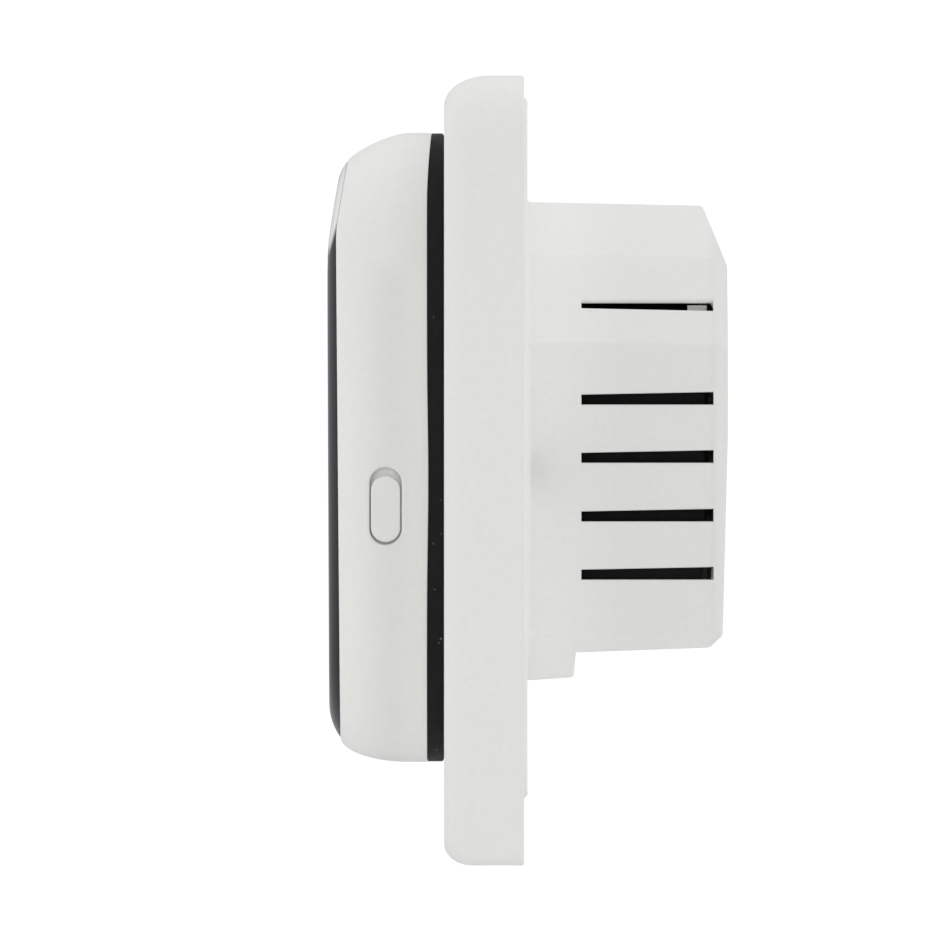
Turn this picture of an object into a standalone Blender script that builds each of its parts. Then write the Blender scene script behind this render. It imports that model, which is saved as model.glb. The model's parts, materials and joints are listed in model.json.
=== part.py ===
"""Flush-mounted wall thermostat, 86 mm square.

A rear housing with the power electronics sits in a round wall box. A square cover frame goes over its
flange, and a control module with a domed glossy front plugs in through the frame. The module has a small
power slider on its right side.

The front faces -Y, +Z is up and the wall plane is Y = 0. The origin is the middle of the cover frame on
the wall plane. Sizes are in millimetres here, and make() turns them into metres.
"""

import math

import bmesh
import bpy
from mathutils import Vector

MM = 0.001

# Cover frame
FRAME_HALF = 43.0
FRAME_CORNER = 7.0
FRAME_FRONT_Y = -9.08
FRAME_BACK_Y = -0.38
FRAME_WALL = 2.1
FRAME_FRONT_WALL = 2.2
FRAME_OPENING_HALF = 30.0
FRAME_OPENING_CORNER = 4.0

# The control module, and the flange behind it, are centred a little above the frame's middle
MODULE_Z = 2.45
MODULE_HALF = 34.35
MODULE_CORNER = 12.0
LENS_HALF = 31.4
LENS_CORNER = 9.1
SHELL_BACK_Y = -10.92
SHELL_ROUND_START_Y = -12.95
SHELL_INNER_PROFILE = ((2.6, -17.5), (1.7, -15.0), (1.6, SHELL_BACK_Y))
SHELL_FLOOR = 1.5
SEAM = 0.1
COVER_BACK_Y = -9.38
COVER_FLOOR_Y = -10.85
LIP_Y = -12.6

# The front plane and the joint between lens and shell lean back a little towards the bottom, and bend back
# near the top. Each is (depth at LEAN_Z, lean per millimetre, height of the bend, softness of the bend).
LEAN_Z = 20.0
BEND_SLOPE = 0.175
FRONT = (-21.85, 0.0067, 24.6, 1.5)
PARTING = (-20.85, 0.0085, 26.2, 0.6)
CROWN = 0.15
LENS_ROLL_WIDTH = 3.75
LENS_ROLL_TOP_CUT = 1.65
LENS_ROLL_POWER = 2.2

# Display and electronics of the module
DISPLAY_Z = 8.0
DISPLAY_HALF = (21.0, 14.0)
CONTROL_PCB_Y = (-16.0, -14.6)
POST_X = 25.0
POST_DZ = 25.0
POST_RADIUS = 2.0
PLUG_Z = -4.0
PIN_COUNT = 8
PIN_PITCH = 2.54

# Power slider on the right side
SLOT_Y = -15.45
SLOT_Z = -3.81
SLOT_HALF = (1.8, 4.3)
KNOB_HALF = (1.6, 3.59)
KNOB_Z = -4.19
KNOB_FACE_X = 34.2
KNOB_ROUND = 0.25
KNOB_FLANGE_X = (30.35, 31.0)
KNOB_FLANGE_HALF = (2.4, 5.0)
LEVER_START_X = 28.6

# Rear housing: its flange, and the outline of the box at the wall plane from the top to the bottom right
FLANGE_HALF = 38.2
FLANGE_CORNER = 4.0
FLANGE_FRONT_Y = -2.0
BOX_OUTLINE = ((6.0, 29.45), (18.3, 23.8), (26.6, 13.9), (26.6, -18.0), (24.75, -20.07))
BOX_REAR_Y = 21.9
BOX_WALL = 1.1
BOX_DRAFT = math.tan(math.radians(1.2))
BOX_BOTTOM_DRAFT = 0.037
BOX_RIM_CHAMFER = 1.3
STEP_BOTTOM_Z = -22.9
STEP_DEPTH = 5.3
FIXING_X = 30.15
FIXING_SLOT_HALF = (3.0, 2.1)
DRIVER_HOLE_RADIUS = 2.4

# Planes that close the box at the back, each as a point (Y, Z) and the way it faces: the upper rear face, the
# lower one that leans in, the long slope at the top and the chamfer at the bottom
REAR_SLOPES = (
    ((21.9, 3.9), (1.0, 0.0)),
    ((21.9, 3.9), (18.9, -0.5)),
    ((19.3, 28.8), (6.5, 2.6)),
    ((21.4, -17.9), (1.45, -1.5)),
)

# Vent slots: a lower edge and a height that grows towards the rear. Those of the left side sit higher.
VENT_Y = (5.9, 20.3)
VENT_HEIGHTS = (1.08, 1.36)
VENT_LOW_Z = (7.2, 0.85, -5.55, -11.9)
UPPER_VENT_Z = ((17.72, 18.26), (17.42, 18.26))
LEFT_VENT_RISE = 3.1
VENT_INNER_X = 23.0
UPPER_VENT_INNER_X = 20.9
RIB_X = (18.9, 22.9)
RIB_Y = (17.5, 19.6)
RIB_Z = (15.6, 18.05)

# Base cover in front of the flange
BASE_COVER_Y = (-4.3, -2.3)
BASE_COVER_HALF = 36.5
PLATFORM_HALF = 28.2
PLATFORM_FRONT_Y = -7.4
HOOK_X = 14.0
HOOK_DZ = 24.0

# Terminal block
POLE_COUNT = 6
POLE_PITCH = 7.62
BLOCK_Z = (-17.3, -8.6)
BLOCK_Y = (2.8, 19.2)
POCKET_Y = (7.6, 15.7)
POCKET_Z = (-16.1, -9.9)
ENTRY_HALF = 2.3
ENTRY_Y = 11.0
TERMINAL_Z = -13.0
POWER_PCB_Y = (0.9, 2.5)

FINISHES = {
    "white_abs": ((0.72, 0.72, 0.71), 0.0, 0.42),
    "black_abs": ((0.02, 0.02, 0.022), 0.0, 0.5),
    "glossy_black": ((0.008, 0.008, 0.01), 0.0, 0.06),
    "slider_white": ((0.66, 0.66, 0.65), 0.0, 0.4),
    "adhesive": ((0.05, 0.05, 0.05), 0.0, 0.8),
    "display_glass": ((0.03, 0.04, 0.05), 0.0, 0.1),
    "diffuser": ((0.75, 0.78, 0.8), 0.0, 0.35),
    "board": ((0.02, 0.12, 0.05), 0.0, 0.45),
    "component_black": ((0.025, 0.025, 0.028), 0.0, 0.45),
    "capacitor_blue": ((0.05, 0.1, 0.35), 0.0, 0.35),
    "film_yellow": ((0.7, 0.5, 0.08), 0.0, 0.4),
    "sensor_epoxy": ((0.03, 0.03, 0.03), 0.0, 0.3),
    "terminal_black": ((0.025, 0.025, 0.027), 0.0, 0.45),
    "zinc_steel": ((0.62, 0.62, 0.6), 1.0, 0.35),
    "brass_cage": ((0.75, 0.6, 0.3), 1.0, 0.35),
    "glass_tube": ((0.7, 0.72, 0.7), 0.0, 0.1),
}


def finish(name):
    """The material of this name, made once."""
    material = bpy.data.materials.get(name)
    if material:
        return material
    colour, metallic, roughness = FINISHES[name]
    material = bpy.data.materials.new(name)
    material.use_nodes = True
    shader = material.node_tree.nodes["Principled BSDF"]
    shader.inputs["Base Color"].default_value = (*colour, 1.0)
    shader.inputs["Metallic"].default_value = metallic
    shader.inputs["Roughness"].default_value = roughness
    return material


def make(name, bm, finish_name, origin=(0.0, 0.0, 0.0)):
    """An object from a bmesh in millimetres, with its origin at the given point."""
    bmesh.ops.recalc_face_normals(bm, faces=bm.faces)
    bmesh.ops.translate(bm, verts=bm.verts, vec=-Vector(origin))
    bmesh.ops.scale(bm, verts=bm.verts, vec=(MM, MM, MM))
    mesh = bpy.data.meshes.new(name)
    bm.to_mesh(mesh)
    bm.free()
    mesh.materials.append(finish(finish_name))
    mesh.shade_smooth()
    mesh.set_sharp_from_angle(angle=math.radians(35))
    obj = bpy.data.objects.new(name, mesh)
    obj.location = Vector(origin) * MM
    bpy.context.scene.collection.objects.link(obj)
    return obj


def combine(obj, bm, operation="DIFFERENCE"):
    """Cuts a bmesh in millimetres from the object, or joins it on, and keeps the result as its mesh."""
    tool = make("tool", bm, "white_abs")
    tool.hide_render = True
    tool.display_type = "WIRE"
    modifier = obj.modifiers.new("combine", "BOOLEAN")
    modifier.operation = operation
    modifier.solver = "EXACT"
    modifier.object = tool
    graph = bpy.context.evaluated_depsgraph_get()
    result = bpy.data.meshes.new_from_object(obj.evaluated_get(graph))
    obj.modifiers.clear()
    result.shade_smooth()
    result.set_sharp_from_angle(angle=math.radians(35))
    result.name = obj.name
    obj.data = result
    bpy.data.objects.remove(tool)
    return obj


def copy_of(obj, name, offset):
    """Another object with the same mesh, moved by an offset in millimetres."""
    twin = bpy.data.objects.new(name, obj.data)
    twin.location = obj.location + Vector(offset) * MM
    bpy.context.scene.collection.objects.link(twin)
    return twin


def outline(half_u, half_v, radius, centre=(0.0, 0.0), corner_steps=6, side_steps=1):
    """Points of a rounded rectangle, each as (u, v, outward u, outward v), anticlockwise from the right."""
    corners = ((1, 1), (-1, 1), (-1, -1), (1, -1))
    points = []
    for index, (sign_u, sign_v) in enumerate(corners):
        middle_u = centre[0] + sign_u * (half_u - radius)
        middle_v = centre[1] + sign_v * (half_v - radius)
        for step in range(corner_steps + 1):
            angle = math.radians(90.0 * (index + step / corner_steps))
            away_u, away_v = math.cos(angle), math.sin(angle)
            points.append((middle_u + radius * away_u, middle_v + radius * away_v, away_u, away_v))
    if side_steps == 1:
        return points
    spread = []
    for index, point in enumerate(points):
        spread.append(point)
        if index % (corner_steps + 1) != corner_steps:
            continue
        following = points[(index + 1) % len(points)]
        for step in range(1, side_steps):
            share = step / side_steps
            u = point[0] + (following[0] - point[0]) * share
            v = point[1] + (following[1] - point[1]) * share
            spread.append((u, v, point[2], point[3]))
    return spread


def ring(points, level, plane="XZ", inset=0.0):
    """An outline as 3-D points. level is a number, or a function of the two places along the outline."""
    placed = []
    for point in points:
        u, v = point[0] - point[2] * inset, point[1] - point[3] * inset
        height = level(u, v) if callable(level) else level
        placed.append({"XZ": (u, height, v), "YZ": (height, u, v), "XY": (u, v, height)}[plane])
    return placed


def scaled_ring(points, share, level, centre):
    """An outline in X and Z shrunk towards a centre. A share of zero gives one point."""
    if share == 0.0:
        return [(centre[0], level(*centre), centre[1])]
    placed = []
    for point in points:
        u = centre[0] + (point[0] - centre[0]) * share
        v = centre[1] + (point[1] - centre[1]) * share
        placed.append((u, level(u, v), v))
    return placed


def loft(rings, closed=False):
    """A bmesh through rings of equally many points. A ring of one point is a tip."""
    bm = bmesh.new()
    rows = [[bm.verts.new(point) for point in points] for points in rings]
    pairs = list(zip(rows, rows[1:]))
    if closed:
        pairs.append((rows[-1], rows[0]))
    count = max(len(row) for row in rows)
    for low, high in pairs:
        for index in range(count):
            after = (index + 1) % count
            corners = [low[index % len(low)], low[after % len(low)]]
            corners += [high[after % len(high)], high[index % len(high)]]
            bm.faces.new(list(dict.fromkeys(corners)))
    if not closed:
        for row in (rows[0], rows[-1]):
            if len(row) > 1:
                bm.faces.new(row)
    return bm


def slab(low, high):
    """A box between two corners."""
    bm = bmesh.new()
    size = Vector(high) - Vector(low)
    bmesh.ops.create_cube(bm, size=1.0)
    bmesh.ops.scale(bm, verts=bm.verts, vec=size)
    bmesh.ops.translate(bm, verts=bm.verts, vec=(Vector(high) + Vector(low)) / 2)
    return bm


def chamfered_slab(low, high, width):
    """A box between two corners with a chamfer on every edge."""
    bm = slab(low, high)
    bmesh.ops.bevel(bm, geom=bm.edges, offset=width, segments=1, affect="EDGES")
    return bm


def turned(profile, foot, axis="Y", segments=16):
    """A body of revolution through (radius, distance from the foot along the axis) pairs."""
    rings = []
    for radius, distance in profile:
        around = []
        for step in range(segments):
            angle = math.tau * step / segments
            across, along = radius * math.cos(angle), radius * math.sin(angle)
            offset = {"X": (distance, across, along), "Y": (across, distance, along)}[axis]
            around.append(Vector(foot) + Vector(offset))
        rings.append(around)
    return loft(rings)


def together(parts):
    """Several bmeshes as one, for cutting them all at once."""
    whole = bmesh.new()
    for part in parts:
        shape = bpy.data.meshes.new("shape")
        part.to_mesh(shape)
        whole.from_mesh(shape)
        part.free()
        bpy.data.meshes.remove(shape)
    return whole


MODULE_CENTRE = (0.0, MODULE_Z)
LENS_CENTRE = (0.0, 2.33)


def soft_ramp(value, width):
    """A ramp that leaves zero smoothly."""
    return (value + math.sqrt(value * value + width * width)) / 2.0


def leaning(surface, z):
    """Depth of the front plane, or of the joint between lens and shell, at a height."""
    depth, lean, bend_z, softness = surface
    return depth + lean * (LEAN_Z - z) + BEND_SLOPE * soft_ramp(z - bend_z, softness)


def front_y(x, z):
    return leaning(FRONT, z) + CROWN * (x / LENS_HALF) ** 2


def parting(offset):
    """The joint between lens and shell moved back by an offset, as a function of X and Z."""
    return lambda _, z: leaning(PARTING, z) + offset


def module_outline(inset=0.0):
    half = MODULE_HALF - inset
    return outline(half, half, MODULE_CORNER - inset, MODULE_CENTRE, side_steps=4)


def lens_outline():
    return outline(LENS_HALF, LENS_HALF, LENS_CORNER, LENS_CENTRE, side_steps=4)


def lens_roll_ring(turn):
    """A ring over the lens's rolled edge. turn runs from 1 at the rim to 0 where the roll ends."""
    placed = []
    for u, v, away_u, away_v in lens_outline():
        width = LENS_ROLL_WIDTH - LENS_ROLL_TOP_CUT * max(0.0, away_v) ** 2
        x, z = u - away_u * width * (1.0 - turn), v - away_v * width * (1.0 - turn)
        flat, rim = front_y(x, z), leaning(PARTING, z) - SEAM
        placed.append((x, flat + (rim - flat) * turn**LENS_ROLL_POWER, z))
    return placed


def build_front_lens():
    edge = lens_outline()
    back = parting(-SEAM / 2)
    rings = [scaled_ring(edge, share, back, LENS_CENTRE) for share in (0.0, 0.65, 0.8, 0.9, 1.0)]
    rings += [lens_roll_ring(turn) for turn in (1.0, 0.9, 0.72, 0.45, 0.0)]
    inner = [(x, z) for x, _, z in rings[-1]]
    rings += [scaled_ring(inner, share, front_y, LENS_CENTRE) for share in (0.9, 0.78, 0.6, 0.3, 0.0)]
    make("front_lens", loft(rings), "glossy_black")


def build_lens_adhesive():
    rows = ((0.9, 0.1), (0.9, 0.25), (0.8, 0.25), (0.8, 0.1))
    rings = [scaled_ring(lens_outline(), share, parting(deep), LENS_CENTRE) for share, deep in rows]
    make("lens_adhesive", loft(rings, closed=True), "adhesive")


def side_turn(share, away_v):
    """How far, from 0 to 1, the shell's side has turned in at a share of its depth. The top is fuller."""
    quarter = 1.0 - math.sqrt(max(0.0, 1.0 - share * share))
    slack = 0.3 + 0.3 * away_v
    return quarter + slack * (share**1.5 - quarter)


def shell_side_ring(share):
    """A ring of the shell's side at a share of the way from its straight part to the lens."""
    placed = []
    for outer, rim in zip(module_outline(), lens_outline()):
        turn = side_turn(share, outer[3])
        x = outer[0] + (rim[0] - outer[0]) * turn
        z = outer[1] + (rim[1] - outer[1]) * turn
        front = leaning(PARTING, z) + SEAM / 2
        placed.append((x, SHELL_ROUND_START_Y + (front - SHELL_ROUND_START_Y) * share, z))
    return placed


def build_module_shell():
    edge = lens_outline()
    window = outline(*DISPLAY_HALF, 1.5, (0.0, DISPLAY_Z), side_steps=4)
    rings = [ring(module_outline(), SHELL_BACK_Y)]
    rings += [shell_side_ring(share) for share in (0.0, 0.25, 0.47, 0.67, 0.83, 0.94, 1.0)]
    for share, deep in ((0.94, 0.05), (0.93, 0.35), (0.9, 0.35), (0.8, 0.35)):
        rings.append(scaled_ring(edge, share, parting(deep), LENS_CENTRE))
    rings.append(ring(window, parting(0.35)))
    rings.append(ring(window, parting(SHELL_FLOOR)))
    rings += [scaled_ring(edge, share, parting(SHELL_FLOOR), LENS_CENTRE) for share in (0.8, 0.9)]
    rings += [ring(module_outline(), depth, inset=inset) for inset, depth in SHELL_INNER_PROFILE]
    shell = make("module_shell", loft(rings, closed=True), "white_abs")
    posts = [turned(((POST_RADIUS, 0.0), (POST_RADIUS, 6.9)), (x, -19.7, z)) for x, z in post_places()]
    combine(shell, together(posts), "UNION")
    pilots = [turned(((1.15, 0.0), (1.15, 4.0)), (x, -16.5, z), segments=10) for x, z in post_places()]
    combine(shell, together(pilots))
    slot = outline(*SLOT_HALF, SLOT_HALF[0] - 0.01, (SLOT_Y, SLOT_Z))
    combine(shell, loft([ring(slot, 30.0, "YZ"), ring(slot, 36.0, "YZ")]))


def post_places():
    return [(sx * POST_X, MODULE_Z + sz * POST_DZ) for sx in (-1, 1) for sz in (-1, 1)]


def build_power_slider():
    """Knob, retaining flange and switch lever in one piece, made of oblong sections along X."""
    half_y, half_z = KNOB_HALF
    flange_start, flange_end = KNOB_FLANGE_X
    sections = (
        (LEVER_START_X, 0.6, 1.1),
        (flange_start, 0.6, 1.1),
        (flange_start, *KNOB_FLANGE_HALF),
        (flange_end, *KNOB_FLANGE_HALF),
        (flange_end, half_y, half_z),
        (KNOB_FACE_X - KNOB_ROUND, half_y, half_z),
        (KNOB_FACE_X - KNOB_ROUND * 0.3, half_y - KNOB_ROUND * 0.3, half_z - KNOB_ROUND * 0.3),
        (KNOB_FACE_X, half_y - KNOB_ROUND, half_z - KNOB_ROUND),
    )
    rings = []
    for x, across, along in sections:
        section = outline(across, along, across - 0.01, (SLOT_Y, KNOB_Z), corner_steps=5)
        rings.append(ring(section, x, "YZ"))
    make("power_slider", loft(rings), "slider_white", (30.6, SLOT_Y, KNOB_Z))


def build_display():
    half_x, half_z = DISPLAY_HALF
    low, high = DISPLAY_Z - half_z, DISPLAY_Z + half_z
    pane = outline(half_x - 0.3, half_z - 0.3, 1.2, (0.0, DISPLAY_Z), corner_steps=3)
    make("display_panel", loft([ring(pane, -20.3), ring(pane, -19.2)]), "display_glass")
    glow = slab((-half_x - 0.8, -18.7, low - 0.8), (half_x + 0.8, -17.1, high + 0.8))
    make("display_backlight", glow, "diffuser")
    centre = (0.0, DISPLAY_Z)
    outer = outline(half_x + 2.4, half_z + 2.4, 1.0, centre, corner_steps=2)
    inner = outline(half_x + 1.1, half_z + 1.1, 0.4, centre, corner_steps=2)
    rings = [ring(outer, -18.7), ring(outer, -16.3), ring(inner, -16.3), ring(inner, -18.7)]
    make("display_holder", loft(rings, closed=True), "black_abs")


def build_control_board():
    edge = module_outline(3.65)
    board = make("control_pcb", loft([ring(edge, y) for y in CONTROL_PCB_Y]), "board")
    clearances = [turned(((2.4, 0.0), (2.4, 4.0)), (x, -17.0, z)) for x, z in post_places()]
    combine(board, together(clearances + [slab((25.0, -17.0, -9.5), (40.0, -13.0, 1.9))]))

    switch = make("slide_switch_body", slab((25.4, -17.3, -8.9), (30.1, -13.3, 1.3)), "component_black")
    combine(switch, slab((28.2, -16.3, KNOB_Z - 1.6), (31.0, -14.3, KNOB_Z + 2.8)))

    back = CONTROL_PCB_Y[1] + 0.3
    make("microcontroller", chamfered_slab((-5, back, 7), (5, back + 1.4, 17), 0.25), "component_black")
    buzzer = turned(((4.5, 0.0), (4.5, 2.4), (4.1, 2.7), (1.0, 2.7), (0.8, 2.2)), (-17.0, back, 14.0))
    make("buzzer", buzzer, "component_black")
    coin = turned(((4.8, 0.0), (4.8, 1.9), (4.4, 2.3)), (16.0, back, -17.0))
    make("backup_capacitor", coin, "capacitor_blue")
    bead = ((0.5, 0.0), (0.5, 1.0), (1.1, 1.6), (1.3, 2.4), (0.9, 3.2))
    make("room_sensor", turned(bead, (-20.0, back, -24.0), segments=12), "sensor_epoxy")

    length = PIN_COUNT * PIN_PITCH / 2
    body = slab((-length, back, PLUG_Z - 2.5), (length, back + 2.5, PLUG_Z + 2.5))
    plug = make("module_plug", body, "black_abs")
    pins = [slab((x - 0.3, back + 2.0, PLUG_Z - 0.3), (x + 0.3, -4.9, PLUG_Z + 0.3)) for x in pin_places()]
    combine(plug, together(pins), "UNION")


def pin_places():
    return [(index - (PIN_COUNT - 1) / 2) * PIN_PITCH for index in range(PIN_COUNT)]


def build_rear_cover():
    """Black back of the module: a plate, a lip that centres it in the shell, four bosses and four hooks."""
    edge = module_outline()
    rings = [
        ring(edge, COVER_BACK_Y, inset=0.25),
        ring(edge, COVER_BACK_Y - 0.25),
        ring(edge, SHELL_BACK_Y + SEAM),
        ring(edge, SHELL_BACK_Y + SEAM, inset=1.9),
        ring(edge, LIP_Y, inset=1.9),
        ring(edge, LIP_Y, inset=2.9),
        ring(edge, COVER_FLOOR_Y, inset=2.9),
    ]
    cover = make("module_rear_cover", loft(rings), "black_abs")
    bosses = [turned(((2.9, 0.0), (2.9, 2.0)), (x, -12.4, z)) for x, z in post_places()]
    combine(cover, together(bosses + [build_hook(x, z) for x, z in hook_places()]), "UNION")
    seat = ((1.2, 0.0), (1.2, 2.4), (2.3, 2.4), (2.3, 5.0))
    seats = [turned(seat, (x, -13.2, z)) for x, z in post_places()]
    window = slab((-10.8, -13.0, PLUG_Z - 3.0), (10.8, -8.0, PLUG_Z + 3.0))
    combine(cover, together(seats + [window]))


def hook_places():
    return [(sx * HOOK_X, MODULE_Z + sz * HOOK_DZ) for sx in (-1, 1) for sz in (-1, 1)]


def build_hook(x, z):
    """A snap hook that points to +Y, with its barb away from the module's middle."""
    out = 1.0 if z > MODULE_Z else -1.0
    side = ((-0.7, -10.2), (0.7, -10.2), (0.7, -5.5), (1.3, -5.2), (0.5, -4.3), (-0.7, -4.3))
    rings = [[(x + dx, y, z + out * dz) for dz, y in side] for dx in (-3.0, 3.0)]
    return loft(rings)


def slotted_screw(name, head, shank, foot, finish_name="zinc_steel", segments=14):
    """A screw along Y. head and shank are (radius, low Y, high Y), with the slot on the head's far side."""
    radius, low, high = head
    outwards = 1.0 if high > shank[1] + 1e-6 and low >= shank[2] else -1.0
    inner, outer = (low, high) if outwards > 0 else (high, low)
    tip, neck = (shank[1], shank[2]) if outwards > 0 else (shank[2], shank[1])
    x, z = foot
    profile = (
        (shank[0] * 0.6, tip),
        (shank[0], tip + outwards * 0.5),
        (shank[0], neck),
        (radius, inner),
        (radius, outer - outwards * 0.25),
        (radius - 0.25, outer),
    )
    screw = make(name, turned(profile, (x, 0.0, z), segments=segments), finish_name, (x, outer, z))
    deep, past = sorted((outer - outwards * 0.7, outer + outwards))
    return combine(screw, slab((x - radius - 1, deep, z - 0.4), (x + radius + 1, past, z + 0.4)))


def build_cover_screws():
    places = post_places()
    first = slotted_screw("cover_screw_1", (2.0, -10.6, -9.5), (0.95, -15.5, -10.6), places[0])
    for index, (x, z) in enumerate(places[1:], 2):
        copy_of(first, f"cover_screw_{index}", (x - places[0][0], 0.0, z - places[0][1]))


def frame_round_ring(degrees):
    """A ring over the frame's rounded front edge, which is rounder at the top than at the bottom."""
    across, forward = 1.0 - math.cos(math.radians(degrees)), math.sin(math.radians(degrees))
    placed = []
    for u, v, away_u, away_v in outline(FRAME_HALF, FRAME_HALF, FRAME_CORNER):
        inset = (2.85 + 0.45 * away_v) * across
        y = FRAME_FRONT_Y + (4.0 + 0.9 * away_v) * (1.0 - forward)
        placed.append((u - away_u * inset, y, v - away_v * inset))
    return placed


def build_outer_frame():
    edge = outline(FRAME_HALF, FRAME_HALF, FRAME_CORNER)
    hollow = outline(FRAME_HALF - FRAME_WALL, FRAME_HALF - FRAME_WALL, FRAME_CORNER - FRAME_WALL)
    hole_half = FRAME_OPENING_HALF
    hole = outline(hole_half, hole_half, FRAME_OPENING_CORNER, MODULE_CENTRE)
    rings = [ring(edge, FRAME_BACK_Y, inset=0.15), ring(edge, FRAME_BACK_Y - 0.3)]
    rings += [frame_round_ring(degrees) for degrees in (0, 22, 42, 60, 76, 90)]
    rings.append(ring(hole, FRAME_FRONT_Y))
    rings.append(ring(hole, FRAME_FRONT_Y + FRAME_FRONT_WALL))
    rings.append(ring(hollow, FRAME_FRONT_Y + FRAME_FRONT_WALL))
    rings.append(ring(hollow, FRAME_BACK_Y))
    make("outer_frame", loft(rings, closed=True), "white_abs")


def facet_planes(outline_points, deeper):
    """Planes of the box's drafted sides as (point, outward way, way in X and Z), moved in by deeper."""
    right = list(outline_points)
    left = [(-x, z) for x, z in reversed(right)]
    loop = right + left
    planes = []
    for index, (x, z) in enumerate(loop):
        next_x, next_z = loop[(index + 1) % len(loop)]
        flat = Vector((z - next_z, 0.0, next_x - x)).normalized()
        if flat.dot(Vector((x, 0.0, z))) < 0:
            flat.negate()
        draft = BOX_BOTTOM_DRAFT if flat.z < -0.9 else BOX_DRAFT
        normal = Vector((flat.x, draft, flat.z)).normalized()
        planes.append((Vector((x, 0.0, z)) - normal * deeper, normal, flat))
    return planes


def rear_planes(sides, deeper):
    """Planes that close the box at the back: its slopes, and a chamfer along each drafted side."""
    planes = []
    for (y, z), (toward_y, toward_z) in REAR_SLOPES:
        normal = Vector((0.0, toward_y, toward_z)).normalized()
        planes.append((Vector((0.0, y, z)) - normal * deeper, normal))
    for point, _, flat in sides:
        if abs(flat.x) < 0.1:
            continue
        fall = flat * (BOX_DRAFT * BOX_REAR_Y + BOX_RIM_CHAMFER)
        normal = (flat + Vector((0.0, 1.0, 0.0))).normalized()
        on_rim = Vector((point.x, BOX_REAR_Y, point.z)) - fall
        planes.append((on_rim - normal * deeper * 0.4, normal))
    return planes


def box_solid(deeper, front_y, bottom_points, rear_y=None):
    """The faceted box, moved inwards by deeper on every side, from front_y to its rear or to rear_y."""
    sides = facet_planes(bottom_points, deeper)
    planes = [(point, normal) for point, normal, _ in sides] + rear_planes(sides, deeper)
    planes.append((Vector((0.0, front_y, 0.0)), Vector((0.0, -1.0, 0.0))))
    if rear_y is not None:
        planes.append((Vector((0.0, rear_y, 0.0)), Vector((0.0, 1.0, 0.0))))
    bm = bmesh.new()
    bmesh.ops.create_cube(bm, size=200.0)
    for point, normal in planes:
        everything = bm.verts[:] + bm.edges[:] + bm.faces[:]
        cut = bmesh.ops.bisect_plane(bm, geom=everything, plane_co=point, plane_no=normal, clear_outer=True)
        border = [item for item in cut["geom_cut"] if isinstance(item, bmesh.types.BMEdge)]
        if border:
            bmesh.ops.edgenet_fill(bm, edges=border)
    return bm


def stepped_outline():
    """The box outline with its lower bevel carried on down to the bottom of the step."""
    (x1, z1), (x2, z2) = BOX_OUTLINE[-2:]
    lower_x = x2 + (x2 - x1) * (STEP_BOTTOM_Z - z2) / (z2 - z1)
    return BOX_OUTLINE[:-1] + ((lower_x, STEP_BOTTOM_Z),)


def vent_cutter(inner_x, outer_x, heights):
    """A bar along X through a side wall, with a (lower, upper) height at each end of VENT_Y."""
    rings = []
    for y, (low, high) in zip(VENT_Y, heights):
        rings.append([(inner_x, y, low), (outer_x, y, low), (outer_x, y, high), (inner_x, y, high)])
    return loft(rings)


def vent_cutters():
    cutters = []
    for side, rise in ((1.0, 0.0), (-1.0, LEFT_VENT_RISE)):
        upper = [(low + rise, high + rise) for low, high in UPPER_VENT_Z]
        cutters.append(vent_cutter(side * UPPER_VENT_INNER_X, side * 30.0, upper))
        for low_z in VENT_LOW_Z:
            heights = [(low_z + rise, low_z + rise + height) for height in VENT_HEIGHTS]
            cutters.append(vent_cutter(side * VENT_INNER_X, side * 30.0, heights))
    return cutters


def fixing_cutter(x, half_u, half_v, low_y, high_y):
    slot = outline(half_u, half_v, half_v - 0.01, (x, 0.0), corner_steps=5)
    return loft([ring(slot, low_y), ring(slot, high_y)])


def housing_screw_places():
    return [(sx * 32.5, MODULE_Z + sz * 32.5) for sx in (-1, 1) for sz in (-1, 1)]


def pole_places():
    return [(index - (POLE_COUNT - 1) / 2) * POLE_PITCH for index in range(POLE_COUNT)]


def build_rear_housing():
    housing = make("rear_housing", box_solid(0.0, -1.0, stepped_outline()), "white_abs")
    flange = outline(FLANGE_HALF, FLANGE_HALF, FLANGE_CORNER, (0.0, MODULE_Z), corner_steps=4)
    combine(housing, loft([ring(flange, FLANGE_FRONT_Y), ring(flange, 0.0)]), "UNION")
    side = ((STEP_DEPTH, -40.0), (STEP_DEPTH, -19.9), (30.0, -19.1), (30.0, -40.0))
    combine(housing, loft([[(x, y, z) for y, z in side] for x in (-40.0, 40.0)]))
    combine(housing, box_solid(BOX_WALL, -5.0, BOX_OUTLINE))
    combine(housing, slab(*zip(RIB_X, RIB_Y, RIB_Z)), "UNION")
    cutters = vent_cutters()
    cutters += [fixing_cutter(sx * FIXING_X, *FIXING_SLOT_HALF, -3.0, 1.0) for sx in (-1, 1)]
    screw_hole, driver_hole = ((1.5, 0.0), (1.5, 4.0)), ((DRIVER_HOLE_RADIUS, 0.0), (DRIVER_HOLE_RADIUS, 4.0))
    cutters += [turned(screw_hole, (x, -3.0, z), segments=12) for x, z in housing_screw_places()]
    cutters += [turned(driver_hole, (x, 19.0, TERMINAL_Z)) for x in pole_places()]
    half = ENTRY_HALF + 0.15
    for x in pole_places():
        cutters.append(slab((x - half, ENTRY_Y - half, -21.0), (x + half, ENTRY_Y + half, -17.6)))
    combine(housing, together(cutters))


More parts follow.
